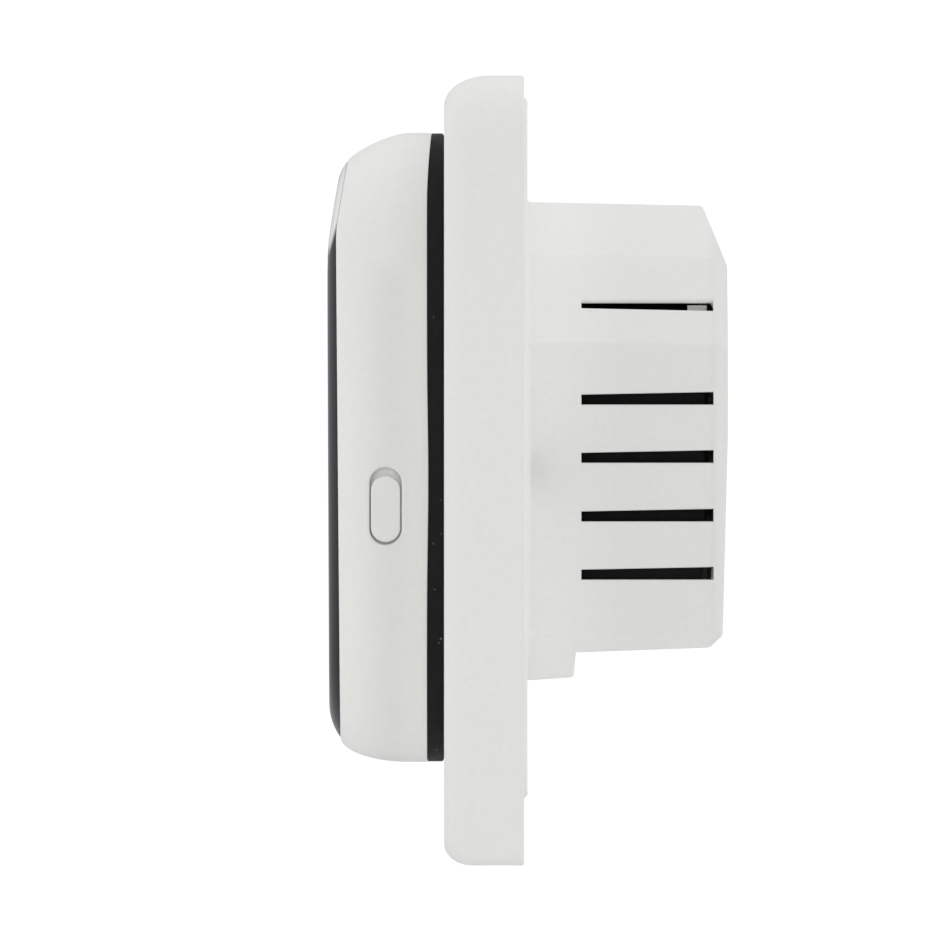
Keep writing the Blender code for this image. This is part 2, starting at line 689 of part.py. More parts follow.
def build_base_cover():
    centre = (0.0, MODULE_Z)
    plate = outline(BASE_COVER_HALF, BASE_COVER_HALF, 3.5, centre, corner_steps=4)
    platform = outline(PLATFORM_HALF, PLATFORM_HALF, 3.5, centre, corner_steps=4)
    back_y, front_y = BASE_COVER_Y[1], BASE_COVER_Y[0]
    rings = [
        ring(platform, PLATFORM_FRONT_Y + 1.5, inset=1.7),
        ring(platform, back_y, inset=1.7),
        ring(plate, back_y),
        ring(plate, front_y),
        ring(platform, front_y),
        ring(platform, PLATFORM_FRONT_Y + 0.4),
        ring(platform, PLATFORM_FRONT_Y, inset=0.4),
    ]
    cover = make("base_cover", loft(rings), "white_abs")
    cutters = [slab((-11.0, -9.0, PLUG_Z - 3.1), (11.0, -4.0, PLUG_Z + 3.1))]
    cutters += [slab((x - 3.5, -9.0, z - 2.0), (x + 3.5, -4.0, z + 2.0)) for x, z in hook_places()]
    screw_hole, fixing_head_hole = ((1.5, 0.0), (1.5, 4.0)), ((4.4, 0.0), (4.4, 4.0))
    cutters += [turned(screw_hole, (x, -5.0, z), segments=12) for x, z in housing_screw_places()]
    cutters += [turned(fixing_head_hole, (sx * 33.1, -5.0, 0.0)) for sx in (-1, 1)]
    combine(cover, together(cutters))


def build_housing_screws():
    places = housing_screw_places()
    first = slotted_screw("housing_screw_1", (2.5, -6.0, -4.6), (1.2, -4.6, -0.4), places[0])
    for index, (x, z) in enumerate(places[1:], 2):
        copy_of(first, f"housing_screw_{index}", (x - places[0][0], 0.0, z - places[0][1]))


def build_power_board():
    board = box_solid(BOX_WALL + 0.7, POWER_PCB_Y[0], BOX_OUTLINE, POWER_PCB_Y[1])
    make("power_pcb", board, "board")
    length = PIN_COUNT * PIN_PITCH / 2
    body = slab((-length, -7.2, PLUG_Z - 2.5), (length, POWER_PCB_Y[0] - 0.3, PLUG_Z + 2.5))
    socket = make("base_socket", body, "black_abs")
    holes = [slab((x - 0.5, -8.0, PLUG_Z - 0.5), (x + 0.5, -4.2, PLUG_Z + 0.5)) for x in pin_places()]
    combine(socket, together(holes))


def build_power_components():
    y = POWER_PCB_Y[1] + 0.3
    for index, x in enumerate((-18.4, -7.2, 18.4), 1):
        relay = chamfered_slab((x - 5.0, y, -7.3), (x + 5.0, y + 16.9, 12.2), 0.4)
        make(f"relay_{index}", relay, "component_black")
    core = chamfered_slab((-1.3, y, -7.3), (12.4, y + 14.6, 9.5), 0.8)
    make("transformer", core, "capacitor_blue")
    make("film_capacitor", chamfered_slab((-16.0, y, 14.4), (-3.5, y + 11.0, 20.4), 0.5), "film_yellow")
    can = turned(((4.0, 0.0), (4.0, 15.6), (3.6, 16.0)), (12.5, y, 16.9), segments=20)
    make("smoothing_capacitor", can, "component_black")
    disc = turned(((3.4, 0.0), (4.0, 0.5), (4.0, 2.9), (3.4, 3.4)), (0.5, y + 4.3, 16.8), "X", 20)
    make("varistor", disc, "capacitor_blue")
    tube = ((2.6, 0.0), (2.6, 3.5), (2.3, 3.5), (2.3, 11.5), (2.6, 11.5), (2.6, 15.0))
    make("fuse", turned(tube, (-7.5, y + 3.0, 23.7), "X"), "glass_tube")


def build_terminals():
    half = POLE_COUNT * POLE_PITCH / 2
    body = slab((-half, BLOCK_Y[0], BLOCK_Z[0]), (half, BLOCK_Y[1], BLOCK_Z[1]))
    block = make("terminal_block", body, "terminal_black")
    places = pole_places()
    pockets = [slab((x - 3.2, POCKET_Y[0], POCKET_Z[0]), (x + 3.2, POCKET_Y[1], POCKET_Z[1])) for x in places]
    entries = []
    for x in places:
        low = (x - ENTRY_HALF, ENTRY_Y - ENTRY_HALF, BLOCK_Z[0] - 1.0)
        entries.append(slab(low, (x + ENTRY_HALF, ENTRY_Y + ENTRY_HALF, POCKET_Z[0] + 0.5)))
    bore = ((1.5, 0.0), (1.5, 2.0), (2.35, 2.0), (2.35, 6.0))
    bores = [turned(bore, (x, 15.0, TERMINAL_Z)) for x in places]
    for cutters in (pockets, entries, bores):
        combine(block, together(cutters))
    foot = (places[0], TERMINAL_Z)
    first_screw = slotted_screw("terminal_screw_1", (2.05, 17.2, 18.8), (1.3, 13.2, 17.2), foot)
    first_cage = build_clamp_cage(places[0])
    for index, x in enumerate(places[1:], 2):
        offset = (x - places[0], 0.0, 0.0)
        copy_of(first_screw, f"terminal_screw_{index}", offset)
        copy_of(first_cage, f"clamp_cage_{index}", offset)


def build_clamp_cage(x):
    """A rectangular tube along Z, with a threaded hole in its rear wall."""
    low, high = -15.8, -10.2
    outer = [(x - 2.95, 8.0), (x + 2.95, 8.0), (x + 2.95, 13.9), (x - 2.95, 13.9)]
    inner = [(x - 2.2, 8.75), (x + 2.2, 8.75), (x + 2.2, 13.1), (x - 2.2, 13.1)]
    rows = ((outer, low), (outer, high), (inner, high), (inner, low))
    tube = loft([[(u, v, z) for u, v in points] for points, z in rows], closed=True)
    cage = make("clamp_cage_1", tube, "brass_cage", (x, 11.0, TERMINAL_Z))
    return combine(cage, turned(((1.45, 0.0), (1.45, 3.0)), (x, 12.0, TERMINAL_Z), segments=12))


def clear_scene():
    for obj in list(bpy.data.objects):
        bpy.data.objects.remove(obj)


clear_scene()
build_front_lens()
build_lens_adhesive()
build_module_shell()
build_power_slider()
build_display()
build_control_board()
build_rear_cover()
build_cover_screws()
build_outer_frame()
build_rear_housing()
build_base_cover()
build_housing_screws()
build_power_board()
build_power_components()
build_terminals()
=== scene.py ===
"""Looks of the flush-mounted wall thermostat: denser, rounded versions of its visible mouldings, marks on
the front lens, a procedural material for every piece, and the studio round it.

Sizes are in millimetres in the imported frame: the front faces -Y, +Z is up and the wall plane is Y = 0.
"""

import json
import math

import bmesh
import bpy
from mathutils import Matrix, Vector


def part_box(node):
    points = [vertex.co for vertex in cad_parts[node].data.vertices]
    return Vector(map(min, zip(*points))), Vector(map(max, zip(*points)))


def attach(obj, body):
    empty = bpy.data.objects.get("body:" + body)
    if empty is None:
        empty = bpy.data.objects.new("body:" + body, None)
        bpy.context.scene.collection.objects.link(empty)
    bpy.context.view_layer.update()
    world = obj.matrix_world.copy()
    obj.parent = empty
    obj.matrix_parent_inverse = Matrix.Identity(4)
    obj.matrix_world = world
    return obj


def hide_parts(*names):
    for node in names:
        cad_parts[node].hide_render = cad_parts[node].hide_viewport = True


MM = 0.001
SMOOTH_ANGLE = math.radians(32)
CORNER_STEPS = 16
TURNED_SEGMENTS = 48

# Height of the middle of the frame's opening, of the flange and of the screws
MIDDLE_Z = 2.45

# Cover frame
FRAME_HALF = 43.0
FRAME_CORNER = 7.0
FRAME_FRONT_Y = -9.08
FRAME_BACK_Y = -0.38
FRAME_WALL = 2.1
FRAME_FRONT_WALL = 2.2
FRAME_OPENING_HALF = 30.0
FRAME_OPENING_CORNER = 4.0

# Rounded front edge of the frame: size at the sides, and what the top adds and the bottom loses
FRAME_ROUND_INSET = (2.85, 0.45)
FRAME_ROUND_DEPTH = (4.0, 0.9)

# Control module
MODULE_CENTRE = (0.0, 2.53)
MODULE_HALF = 34.35
MODULE_CORNER = 12.0
LENS_CENTRE = (0.0, 2.33)
LENS_HALF = 31.4
LENS_CORNER = 9.1
SHELL_BACK_Y = -10.92
SHELL_ROUND_START_Y = -12.95
SHELL_WALL = 0.5
LIP_INSET = 1.9
COVER_BACK_Y = -9.1
COVER_FLOOR_Y = -10.85
COVER_INNER_Y = -12.6
SEAM = 0.03

# How the shell turns in towards the lens: the share of the depth that the left and right sides stay straight,
# and the share and power of a looser curve that is blended with the quarter round
SIDE_HOLD = 0.2
SIDE_SLACK = 0.3
SLACK_POWER = 1.5

# The left and right sides draw in again from this depth to the back edge, by this much
BELLY_Y = -15.0
BACK_TAPER = 0.14

# Bow of the shell's back edge at the middle and at the top: size, height and width
BACK_EDGE_BOW = (0.15, -1.0, 9.0)
BACK_EDGE_TOP = (0.25, 28.5, 6.0)

# The front plane and the joint between lens and shell both lean back a little towards the bottom, and bend
# back near the top: depth at LEAN_Z, lean per millimetre, height of the bend and its softness
LEAN_Z = 20.0
BEND_SLOPE = 0.175
FRONT = (-21.85, 0.0046, 24.6, 1.5)
PARTING = (-20.85, 0.0085, 26.2, 0.6)
CROWN = 0.01

# Rolled edge of the lens: its width, what the top loses of it, and how sharply it turns back
LENS_ROLL_WIDTH = 3.75
LENS_ROLL_TOP_LOSS = 1.65
LENS_ROLL_POWER = 2.2

# Pale band at the lens's bent top: the height of its border at the first depth, the rise to the second depth,
# and half the width of the blend
BAND_DEPTHS = (-21.6, -20.85)
BAND_Z = 24.0
BAND_RISE = 2.6
BAND_BLEND = 0.8

# Marks on the front of the lens: digits with their left sides, and the touch marks under them
DISPLAY_DIGITS = (("2", -14.2), ("1", -4.6), ("5", 5.8))
DIGIT_FOOT_Z = 1.6
DIGIT_SIZE = 6.4
DIGIT_STROKE = 1.15
TOUCH_Z = -17.0
TOUCH_STROKE = 0.5
RING_STROKE = 0.42

# Display window of the shell, screw posts, plug and snap hooks
DISPLAY_CENTRE = (0.0, 8.0)
DISPLAY_HALF = (21.0, 14.0)
DISPLAY_CORNER = 1.5
POST_X = 25.0
POST_DZ = 25.0
BOSS_FOOT_Y = -12.4
SEAT_FOOT_Y = -13.2
PLUG_Z = -4.0
PLUG_WINDOW_HALF = (10.8, 3.0)
HOOK_X = 14.0
HOOK_DZ = 24.0
HOOK_HALF_WIDTH = 3.0

# Power slider on the right side
SLOT_CENTRE = (-15.45, -3.86)
SLOT_HALF = (1.73, 4.2)
KNOB_CENTRE = (-15.45, -4.19)
KNOB_HALF = (1.6, 3.59)
KNOB_FACE_X = 34.26
KNOB_ROUND = 0.22
KNOB_FLANGE_HALF = (2.4, 5.0)
KNOB_FLANGE_DEPTH = 0.8
KNOB_FLANGE_X = 31.2
LEVER_HALF = (0.6, 1.1)
LEVER_X = (28.6, 31.0)

# Rear housing
FLANGE_HALF = 38.2
FLANGE_CORNER = 4.0
FLANGE_FRONT_Y = -2.0
BOX_OUTLINE = ((6.0, 29.45), (18.3, 23.8), (26.6, 13.9), (26.6, -18.0), (24.75, -20.07))
BOX_REAR_Y = 21.9
BOX_WALL = 1.1
BOX_DRAFT = math.tan(math.radians(1.2))
BOX_BOTTOM_DRAFT = 0.037
BOX_RIM_CHAMFER = 1.3
BOX_RIM_WALL_SHARE = 0.4
BOX_EDGE_ROUND = 0.3
STEP_BOTTOM_Z = -22.93
STEP_BOTTOM_DRAFT = 0.068
STEP_DEPTH = 5.3
STEP_INSET = 0.03
STEP_REAR_Z = -20.0
STEP_REAR_DRAFT = 0.09
STEP_TOP_Z = -16.0
HOUSING_SCREW_OFFSET = 32.5
SCREW_HOLE_RADIUS = 1.5
FIXING_X = 30.15
FIXING_SLOT_HALF = (3.0, 2.1)

# Planes that close the box at the back, each as a point (Y, Z) and the way it faces: the upper rear face, the
# lower one that leans in, the long slope at the top and the chamfer at the bottom
REAR_SLOPES = (
    ((21.9, 3.9), (1.0, 0.0)),
    ((21.9, 3.9), (18.9, -0.5)),
    ((19.3, 28.8), (6.5, 2.6)),
    ((21.4, -17.9), (1.45, -1.5)),
)

# Vent slots: lower edges, and a height that grows towards the rear. Those of the left side sit higher.
VENT_Y = (5.9, 20.3)
VENT_HEIGHTS = (1.08, 1.36)
VENT_LOW_Z = (7.2, 0.85, -5.55, -11.9)
UPPER_VENT_LOW_Z = (17.72, 17.42)
UPPER_VENT_HIGH_Z = (18.26, 18.26)
UPPER_VENT_LIP = 0.37
UPPER_VENT_INNER_X = 20.9
RIB = ((18.9, 17.5, 15.6), (22.9, 19.6, 18.05))
LEFT_VENT_RISE = 3.1

# Screwdriver holes with their numerals, and wire entries
POLE_COUNT = 6
POLE_PITCH = 7.62
TERMINAL_Z = -13.0
NUMERAL_Z = -9.6
ENTRY_Y = 11.0
ENTRY_Z = (-21.0, -17.6)
ENTRY_HALF = 2.45

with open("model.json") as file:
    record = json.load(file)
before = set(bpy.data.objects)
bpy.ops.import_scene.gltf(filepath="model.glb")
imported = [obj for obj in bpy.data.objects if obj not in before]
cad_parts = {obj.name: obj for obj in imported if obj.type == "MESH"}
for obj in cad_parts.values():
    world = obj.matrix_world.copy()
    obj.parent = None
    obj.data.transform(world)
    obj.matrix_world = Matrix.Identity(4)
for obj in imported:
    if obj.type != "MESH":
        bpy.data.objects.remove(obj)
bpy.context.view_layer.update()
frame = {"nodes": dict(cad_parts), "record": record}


# ---- Shapes

def soft_ramp(value, width):
    """A ramp that leaves zero smoothly."""
    return (value + math.sqrt(value * value + width * width)) / 2.0


def leaning(surface, z):
    """Depth of the front plane or of the joint behind the lens at a height."""
    depth, lean, bend_z, softness = surface
    return depth + lean * (LEAN_Z - z) + BEND_SLOPE * soft_ramp(z - bend_z, softness)


def front_y(x, z):
    return leaning(FRONT, z) + CROWN * (x / LENS_HALF) ** 2


def parting_y(z):
    return leaning(PARTING, z)


def back_edge_y(z):
    """The shell's back edge, which bows slightly at the middle of the side and at the top corners."""
    bow, bow_z, bow_width = BACK_EDGE_BOW
    rise, rise_z, rise_width = BACK_EDGE_TOP
    middle = bow * math.exp(-((z - bow_z) / bow_width) ** 2)
    return SHELL_BACK_Y + middle + rise * (max(0.0, z - rise_z) / rise_width) ** 2


def outline(half_u, half_v, radius, centre=(0.0, 0.0), side_steps=1):
    """Points of a rounded rectangle, each as (u, v, outward u, outward v), anticlockwise from the right."""
    corners = ((1, 1), (-1, 1), (-1, -1), (1, -1))
    points = []
    for index, (sign_u, sign_v) in enumerate(corners):
        middle_u = centre[0] + sign_u * (half_u - radius)
        middle_v = centre[1] + sign_v * (half_v - radius)
        for step in range(CORNER_STEPS + 1):
            angle = math.radians(90.0 * (index + step / CORNER_STEPS))
            away_u, away_v = math.cos(angle), math.sin(angle)
            points.append((middle_u + radius * away_u, middle_v + radius * away_v, away_u, away_v))
    if side_steps == 1:
        return points
    spread = []
    for index, point in enumerate(points):
        spread.append(point)
        if index % (CORNER_STEPS + 1) != CORNER_STEPS:
            continue
        following = points[(index + 1) % len(points)]
        for step in range(1, side_steps):
            share = step / side_steps
            u = point[0] + (following[0] - point[0]) * share
            v = point[1] + (following[1] - point[1]) * share
            spread.append((u, v, point[2], point[3]))
    return spread


def module_outline(inset=0.0):
    half = MODULE_HALF - inset
    return outline(half, half, MODULE_CORNER - inset, MODULE_CENTRE, side_steps=14)


def lens_outline():
    return outline(LENS_HALF, LENS_HALF, LENS_CORNER, LENS_CENTRE, side_steps=14)


def ring(points, level, plane="XZ", inset=0.0):
    """An outline as 3-D points. level is a number or a function of (u, v), inset a number or a function of
    an outline point."""
    placed = []
    for point in points:
        deep = inset(point) if callable(inset) else inset
        u, v = point[0] - point[2] * deep, point[1] - point[3] * deep
        height = level(u, v) if callable(level) else level
        placed.append({"XZ": (u, height, v), "YZ": (height, u, v), "XY": (u, v, height)}[plane])
    return placed


def scaled_ring(points, share, level, centre):
    """An outline in X and Z shrunk towards a centre. A share of zero gives one point."""
    if share == 0.0:
        return [(centre[0], level(*centre), centre[1])]
    placed = []
    for point in points:
        u = centre[0] + (point[0] - centre[0]) * share
        v = centre[1] + (point[1] - centre[1]) * share
        placed.append((u, level(u, v), v))
    return placed


def facing_out(bm):
    """Turns the faces of one closed body outwards."""
    bmesh.ops.recalc_face_normals(bm, faces=bm.faces)
    if bm.calc_volume(signed=True) < 0:
        bmesh.ops.reverse_faces(bm, faces=bm.faces)
    return bm


def loft(rings, closed=False):
    """A bmesh through rings of equally many points. A ring of one point is a tip."""
    bm = bmesh.new()
    rows = [[bm.verts.new(point) for point in points] for points in rings]
    pairs = list(zip(rows, rows[1:]))
    if closed:
        pairs.append((rows[-1], rows[0]))
    count = max(len(row) for row in rows)
    for low, high in pairs:
        for index in range(count):
            after = (index + 1) % count
            corners = [low[index % len(low)], low[after % len(low)]]
            corners += [high[after % len(high)], high[index % len(high)]]
            bm.faces.new(list(dict.fromkeys(corners)))
    if not closed:
        for row in (rows[0], rows[-1]):
            if len(row) > 1:
                bm.faces.new(row)
    return facing_out(bm)


def slab(low, high, bevel=0.0):
    """A box between two corners, with its edges rounded."""
    bm = bmesh.new()
    bmesh.ops.create_cube(bm, size=1.0)
    bmesh.ops.scale(bm, verts=bm.verts, vec=Vector(high) - Vector(low))
    bmesh.ops.translate(bm, verts=bm.verts, vec=(Vector(high) + Vector(low)) / 2)
    if bevel:
        bmesh.ops.bevel(bm, geom=bm.edges, offset=bevel, segments=3, profile=0.5, affect="EDGES")
    return bm


def turned(profile, foot):
    """A body of revolution along Y through (radius, distance from the foot) pairs."""
    rings = []
    for radius, distance in profile:
        around = []
        for step in range(TURNED_SEGMENTS):
            angle = math.tau * step / TURNED_SEGMENTS
            reach = Vector((radius * math.cos(angle), distance, radius * math.sin(angle)))
            around.append(Vector(foot) + reach)
        rings.append(around)
    return loft(rings)


def together(parts):
    """Several bmeshes as one, for cutting them all at once."""
    whole = bmesh.new()
    for part in parts:
        shape = bpy.data.meshes.new("shape")
        part.to_mesh(shape)
        whole.from_mesh(shape)
        part.free()
        bpy.data.meshes.remove(shape)
    return whole


def plain_object(name, bm):
    bmesh.ops.scale(bm, verts=bm.verts, vec=(MM, MM, MM))
    mesh = bpy.data.meshes.new(name)
    bm.to_mesh(mesh)
    bm.free()
    obj = bpy.data.objects.new(name, mesh)
    bpy.context.scene.collection.objects.link(obj)
    return obj


def combine(obj, bm, operation="DIFFERENCE"):
    """Cuts a bmesh in millimetres from the object, or joins it on. The result becomes the object's mesh."""
    tool = plain_object("tool", bm)
    modifier = obj.modifiers.new("combine", "BOOLEAN")
    modifier.operation = operation
    modifier.solver = "EXACT"
    modifier.object = tool
    graph = bpy.context.evaluated_depsgraph_get()
    result = bpy.data.meshes.new_from_object(obj.evaluated_get(graph))
    obj.modifiers.clear()
    obj.data = result
    bpy.data.objects.remove(tool)


def even_shading(obj):
    """Smooth shading that keeps flat faces flat next to small rounded edges."""
    obj.data.shade_smooth()
    obj.data.set_sharp_from_angle(angle=SMOOTH_ANGLE)
    normals = obj.modifiers.new("normals", "WEIGHTED_NORMAL")
    normals.keep_sharp = True
    normals.weight = 80


def finished(obj, body, material, nodes=()):
    """A piece that rides on a body, has a finish, and stands for CAD nodes if it names any."""
    even_shading(obj)
    obj.data.materials.clear()
    obj.data.materials.append(material)
    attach(obj, body)
    if nodes:
        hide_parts(*nodes)


# ---- Materials

class Finish:
    """A Principled material with short ways to add nodes. Places are object coordinates, in metres."""

    def __init__(self, name, roughness=0.5, metallic=0.0):
        self.material = bpy.data.materials.new(name)
        self.material.use_nodes = True
        self.tree = self.material.node_tree
        self.shader = self.tree.nodes["Principled BSDF"]
        self.shader.inputs["Metallic"].default_value = metallic
        self.shader.inputs["Roughness"].default_value = roughness
        self.place = self.tree.nodes.new("ShaderNodeTexCoord").outputs["Object"]

    def node(self, kind, inputs=(), **settings):
        made = self.tree.nodes.new(kind)
        for key, value in settings.items():
            setattr(made, key, value)
        for key, value in dict(inputs).items():
            self.feed(made.inputs[key], value)
        return made

    def feed(self, socket, value):
        if isinstance(value, bpy.types.NodeSocket):
            self.tree.links.new(value, socket)
        else:
            socket.default_value = value

    def noise(self, scale, detail=3.0, place=None):
        inputs = {"Vector": place or self.place, "Scale": scale, "Detail": detail}
        return self.node("ShaderNodeTexNoise", inputs).outputs["Fac"]

    def stretched(self, scale):
        """Places scaled by a different amount along each axis."""
        scaled = self.node("ShaderNodeVectorMath", {0: self.place, 1: scale}, operation="MULTIPLY")
        return scaled.outputs[0]

    def ranged(self, value, start, end, low=0.0, high=1.0, smooth=False):
        inputs = {"Value": value, "From Min": start, "From Max": end, "To Min": low, "To Max": high}
        kind = "SMOOTHSTEP" if smooth else "LINEAR"
        return self.node("ShaderNodeMapRange", inputs, interpolation_type=kind).outputs["Result"]

    def math(self, operation, first, second=0.0):
        return self.node("ShaderNodeMath", {0: first, 1: second}, operation=operation).outputs[0]

    def mixed(self, share, first, second, kind="MIX"):
        inputs = {"Fac": share, "Color1": first, "Color2": second}
        return self.node("ShaderNodeMixRGB", inputs, blend_type=kind).outputs["Color"]

    def axis(self, letter):
        return self.node("ShaderNodeSeparateXYZ", {0: self.place}).outputs[letter]

    def colour(self, value):
        self.feed(self.shader.inputs["Base Color"], value)

    def roughness(self, value):
        self.feed(self.shader.inputs["Roughness"], value)

    def bump(self, height, depth, strength=1.0):
        inputs = {"Height": height, "Distance": depth, "Strength": strength}
        self.feed(self.shader.inputs["Normal"], self.node("ShaderNodeBump", inputs).outputs["Normal"])


# Millimetres under the top height over which painted shading fades out
PAINTED_SHADING_FADE = 5.0
DUST_COLOUR = (0.30, 0.30, 0.29, 1.0)
FUSE_CAP_LENGTH = 3.6


def tinted(colour, factor):
    return (*(min(1.0, channel * factor) for channel in colour), 1.0)


def plastic(name, colour, roughness, tone=0.012, grain=2.5e-6, level=0.45):
    """Satin moulded plastic: slow tone drift, mottling and the fine grain of a spark-eroded mould."""
    finish = Finish(name)
    drift = finish.noise(45.0, 2.0)
    base = finish.mixed(drift, tinted(colour, 1.0 - tone), tinted(colour, 1.0 + tone))
    mottle = finish.ranged(finish.noise(1400.0, 2.0), 0.3, 0.7, 1.0 - tone, 1.0 + tone)
    finish.colour(finish.mixed(1.0, base, mottle, "MULTIPLY"))
    patches = finish.noise(700.0, 2.0)
    finish.roughness(finish.ranged(patches, 0.25, 0.75, roughness - 0.05, roughness + 0.05))
    finish.bump(finish.noise(5200.0, 2.0), grain, 0.7)
    finish.shader.inputs["Specular IOR Level"].default_value = level
    return finish


def plastic_with_painted_shading(name, colour, roughness, stops, below=100.0):
    """Satin plastic with painted light and shade that change with depth, standing in for the fall-off of the
    light; each stop is a depth in millimetres and a share of the tone. The painted shading fades out over the
    last few millimetres under the height that below gives."""
    finish = plastic(name, colour, roughness)
    base = finish.shader.inputs["Base Color"].links[0].from_socket
    fade_start = (below - PAINTED_SHADING_FADE) * MM
    share = finish.ranged(finish.axis("Z"), fade_start, below * MM, 1.0, 0.0, smooth=True)
    # Each stop paints shade or light into the colour according to depth
    for (start, before), (end, after) in zip(stops, stops[1:]):
        drift = finish.ranged(finish.axis("Y"), start * MM, end * MM, 1.0, after / before, smooth=True)
        base = finish.mixed(share, base, drift, "MULTIPLY")
    finish.colour(base)
    return finish


def dusty_black(name, colour, roughness, dust):
    """Satin black plastic with a few specks of pale dust."""
    finish = plastic(name, colour, roughness, 0.12, 4e-6, 0.22)
    base = finish.shader.inputs["Base Color"].links[0].from_socket
    cells = finish.node("ShaderNodeTexVoronoi", {"Vector": finish.place, "Scale": 1300.0})
    specks = finish.ranged(cells.outputs["Distance"], 0.10, 0.20, 1.0, 0.0, smooth=True)
    patches = finish.ranged(finish.noise(260.0, 2.0), 0.54, 0.66)
    share = finish.math("MULTIPLY", finish.math("MULTIPLY", specks, patches), dust)
    finish.colour(finish.mixed(share, base, DUST_COLOUR))
    return finish


def lens_finish():
    """Glossy lens, printed black behind its lower part and pale behind its bent top."""
    finish = Finish("lens_gloss", 0.06)
    depth, height = finish.axis("Y"), finish.axis("Z")
    along = finish.ranged(depth, BAND_DEPTHS[0] * MM, BAND_DEPTHS[1] * MM)
    border = finish.math("ADD", finish.math("MULTIPLY", along, BAND_RISE * MM), BAND_Z * MM)
    above = finish.math("SUBTRACT", height, border)
    pale = finish.ranged(above, -BAND_BLEND * MM, BAND_BLEND * MM, smooth=True)
    drift = finish.noise(60.0, 2.0)
    black = finish.mixed(drift, (0.0055, 0.0055, 0.007, 1.0), (0.008, 0.008, 0.0095, 1.0))
    light = finish.mixed(drift, (0.87, 0.87, 0.87, 1.0), (0.90, 0.90, 0.90, 1.0))
    finish.colour(finish.mixed(pale, black, light))
    finish.roughness(finish.ranged(finish.noise(900.0, 3.0), 0.3, 0.7, 0.04, 0.09))
    finish.bump(finish.noise(150.0, 1.0), 3e-6, 0.5)
    finish.shader.inputs["IOR"].default_value = 1.48
    return finish


def brushed(name, colour, roughness, scale):
    """Brushed or drawn metal, with streaks along one axis."""
    finish = Finish(name, metallic=1.0)
    streaks = finish.noise(1.0, 4.0, finish.stretched(scale))
    finish.colour(finish.mixed(streaks, tinted(colour, 0.82), tinted(colour, 1.08)))
    finish.roughness(finish.ranged(streaks, 0.3, 0.7, roughness - 0.08, roughness + 0.1))
    finish.bump(streaks, 4e-6, 0.6)
    return finish


def circuit_board():
    """Solder mask over a maze of tracks, with blotches in its tone."""
    finish = Finish("solder_mask")
    cells = finish.node(
        "ShaderNodeTexVoronoi", {"Vector": finish.place, "Scale": 420.0}, distance="MANHATTAN"
    )
    tracks = finish.ranged(cells.outputs["Distance"], 0.42, 0.50, smooth=True)
    base = finish.mixed(tracks, (0.012, 0.085, 0.035, 1.0), (0.028, 0.17, 0.07, 1.0))
    blotch = finish.ranged(finish.noise(90.0, 3.0), 0.3, 0.7, 0.9, 1.1)
    finish.colour(finish.mixed(1.0, base, blotch, "MULTIPLY"))
    finish.roughness(finish.ranged(finish.noise(1200.0), 0.3, 0.7, 0.3, 0.42))
    finish.bump(tracks, 2.5e-5, 0.8)
    return finish


def sleeve(name, colour, roughness):
    """Lacquer or shrink sleeve with a slight orange peel and scuffs."""
    finish = Finish(name)
    scuffs = finish.ranged(finish.noise(1800.0, 4.0), 0.55, 0.75)
    finish.colour(finish.mixed(scuffs, tinted(colour, 0.95), tinted(colour, 1.35)))
    finish.roughness(finish.ranged(finish.noise(500.0), 0.3, 0.7, roughness - 0.06, roughness + 0.08))
    finish.bump(finish.noise(900.0, 2.0), 1.2e-5, 0.6)
    return finish


def foam_tape():
    finish = Finish("foam_tape")
    cells = finish.node("ShaderNodeTexVoronoi", {"Vector": finish.place, "Scale": 4500.0})
    finish.colour(finish.mixed(cells.outputs["Distance"], (0.02, 0.02, 0.02, 1), (0.07, 0.07, 0.07, 1)))
    finish.roughness(finish.ranged(cells.outputs["Distance"], 0.0, 0.8, 0.75, 0.95))
    finish.bump(cells.outputs["Distance"], 4e-5)
    return finish


def display_glass():
    finish = Finish("display_glass")
    tone = finish.noise(120.0)
    finish.colour(finish.mixed(tone, (0.018, 0.024, 0.026, 1), (0.03, 0.038, 0.04, 1)))
    finish.roughness(finish.ranged(tone, 0.3, 0.7, 0.05, 0.12))
    finish.bump(finish.noise(400.0), 1e-6, 0.3)
    return finish


def light_guide():
    """Milky light guide with a printed dot pattern."""
    finish = Finish("light_guide")
    inputs = {"Vector": finish.place, "Scale": 1000.0, "Randomness": 0.0}
    dots = finish.node("ShaderNodeTexVoronoi", inputs)
    spot = finish.ranged(dots.outputs["Distance"], 0.25, 0.35, smooth=True)
    finish.colour(finish.mixed(spot, (0.86, 0.88, 0.9, 1), (0.68, 0.71, 0.74, 1)))
    finish.roughness(finish.ranged(finish.noise(300.0), 0.3, 0.7, 0.22, 0.34))
    finish.bump(spot, 8e-6, 0.5)
    return finish


def fuse_finish():
    """Glass tube with a plated cap at each end."""
    finish = Finish("glass_fuse")
    low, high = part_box("fuse")
    middle, half = (low.x + high.x) / 2, (high.x - low.x) / 2
    away = finish.math("ABSOLUTE", finish.math("SUBTRACT", finish.axis("X"), middle))
    cap = finish.math("GREATER_THAN", away, half - FUSE_CAP_LENGTH * MM)
    tone = finish.noise(800.0)
    glass = finish.mixed(tone, (0.55, 0.6, 0.58, 1), (0.66, 0.7, 0.68, 1))
    metal = finish.mixed(tone, (0.6, 0.6, 0.58, 1), (0.75, 0.75, 0.72, 1))
    finish.colour(finish.mixed(cap, glass, metal))
    finish.feed(finish.shader.inputs["Metallic"], cap)
    finish.roughness(finish.ranged(tone, 0.3, 0.7, 0.12, 0.24))
    finish.bump(tone, 3e-6, 0.4)
    return finish


WHITE = (0.850, 0.850, 0.840)
SHELL_WHITE = (0.862, 0.862, 0.850)
# The housing's white is lifted above the other whites as painted light near the flange
HOUSING_PAINTED_LIT_WHITE = (0.915, 0.915, 0.905)

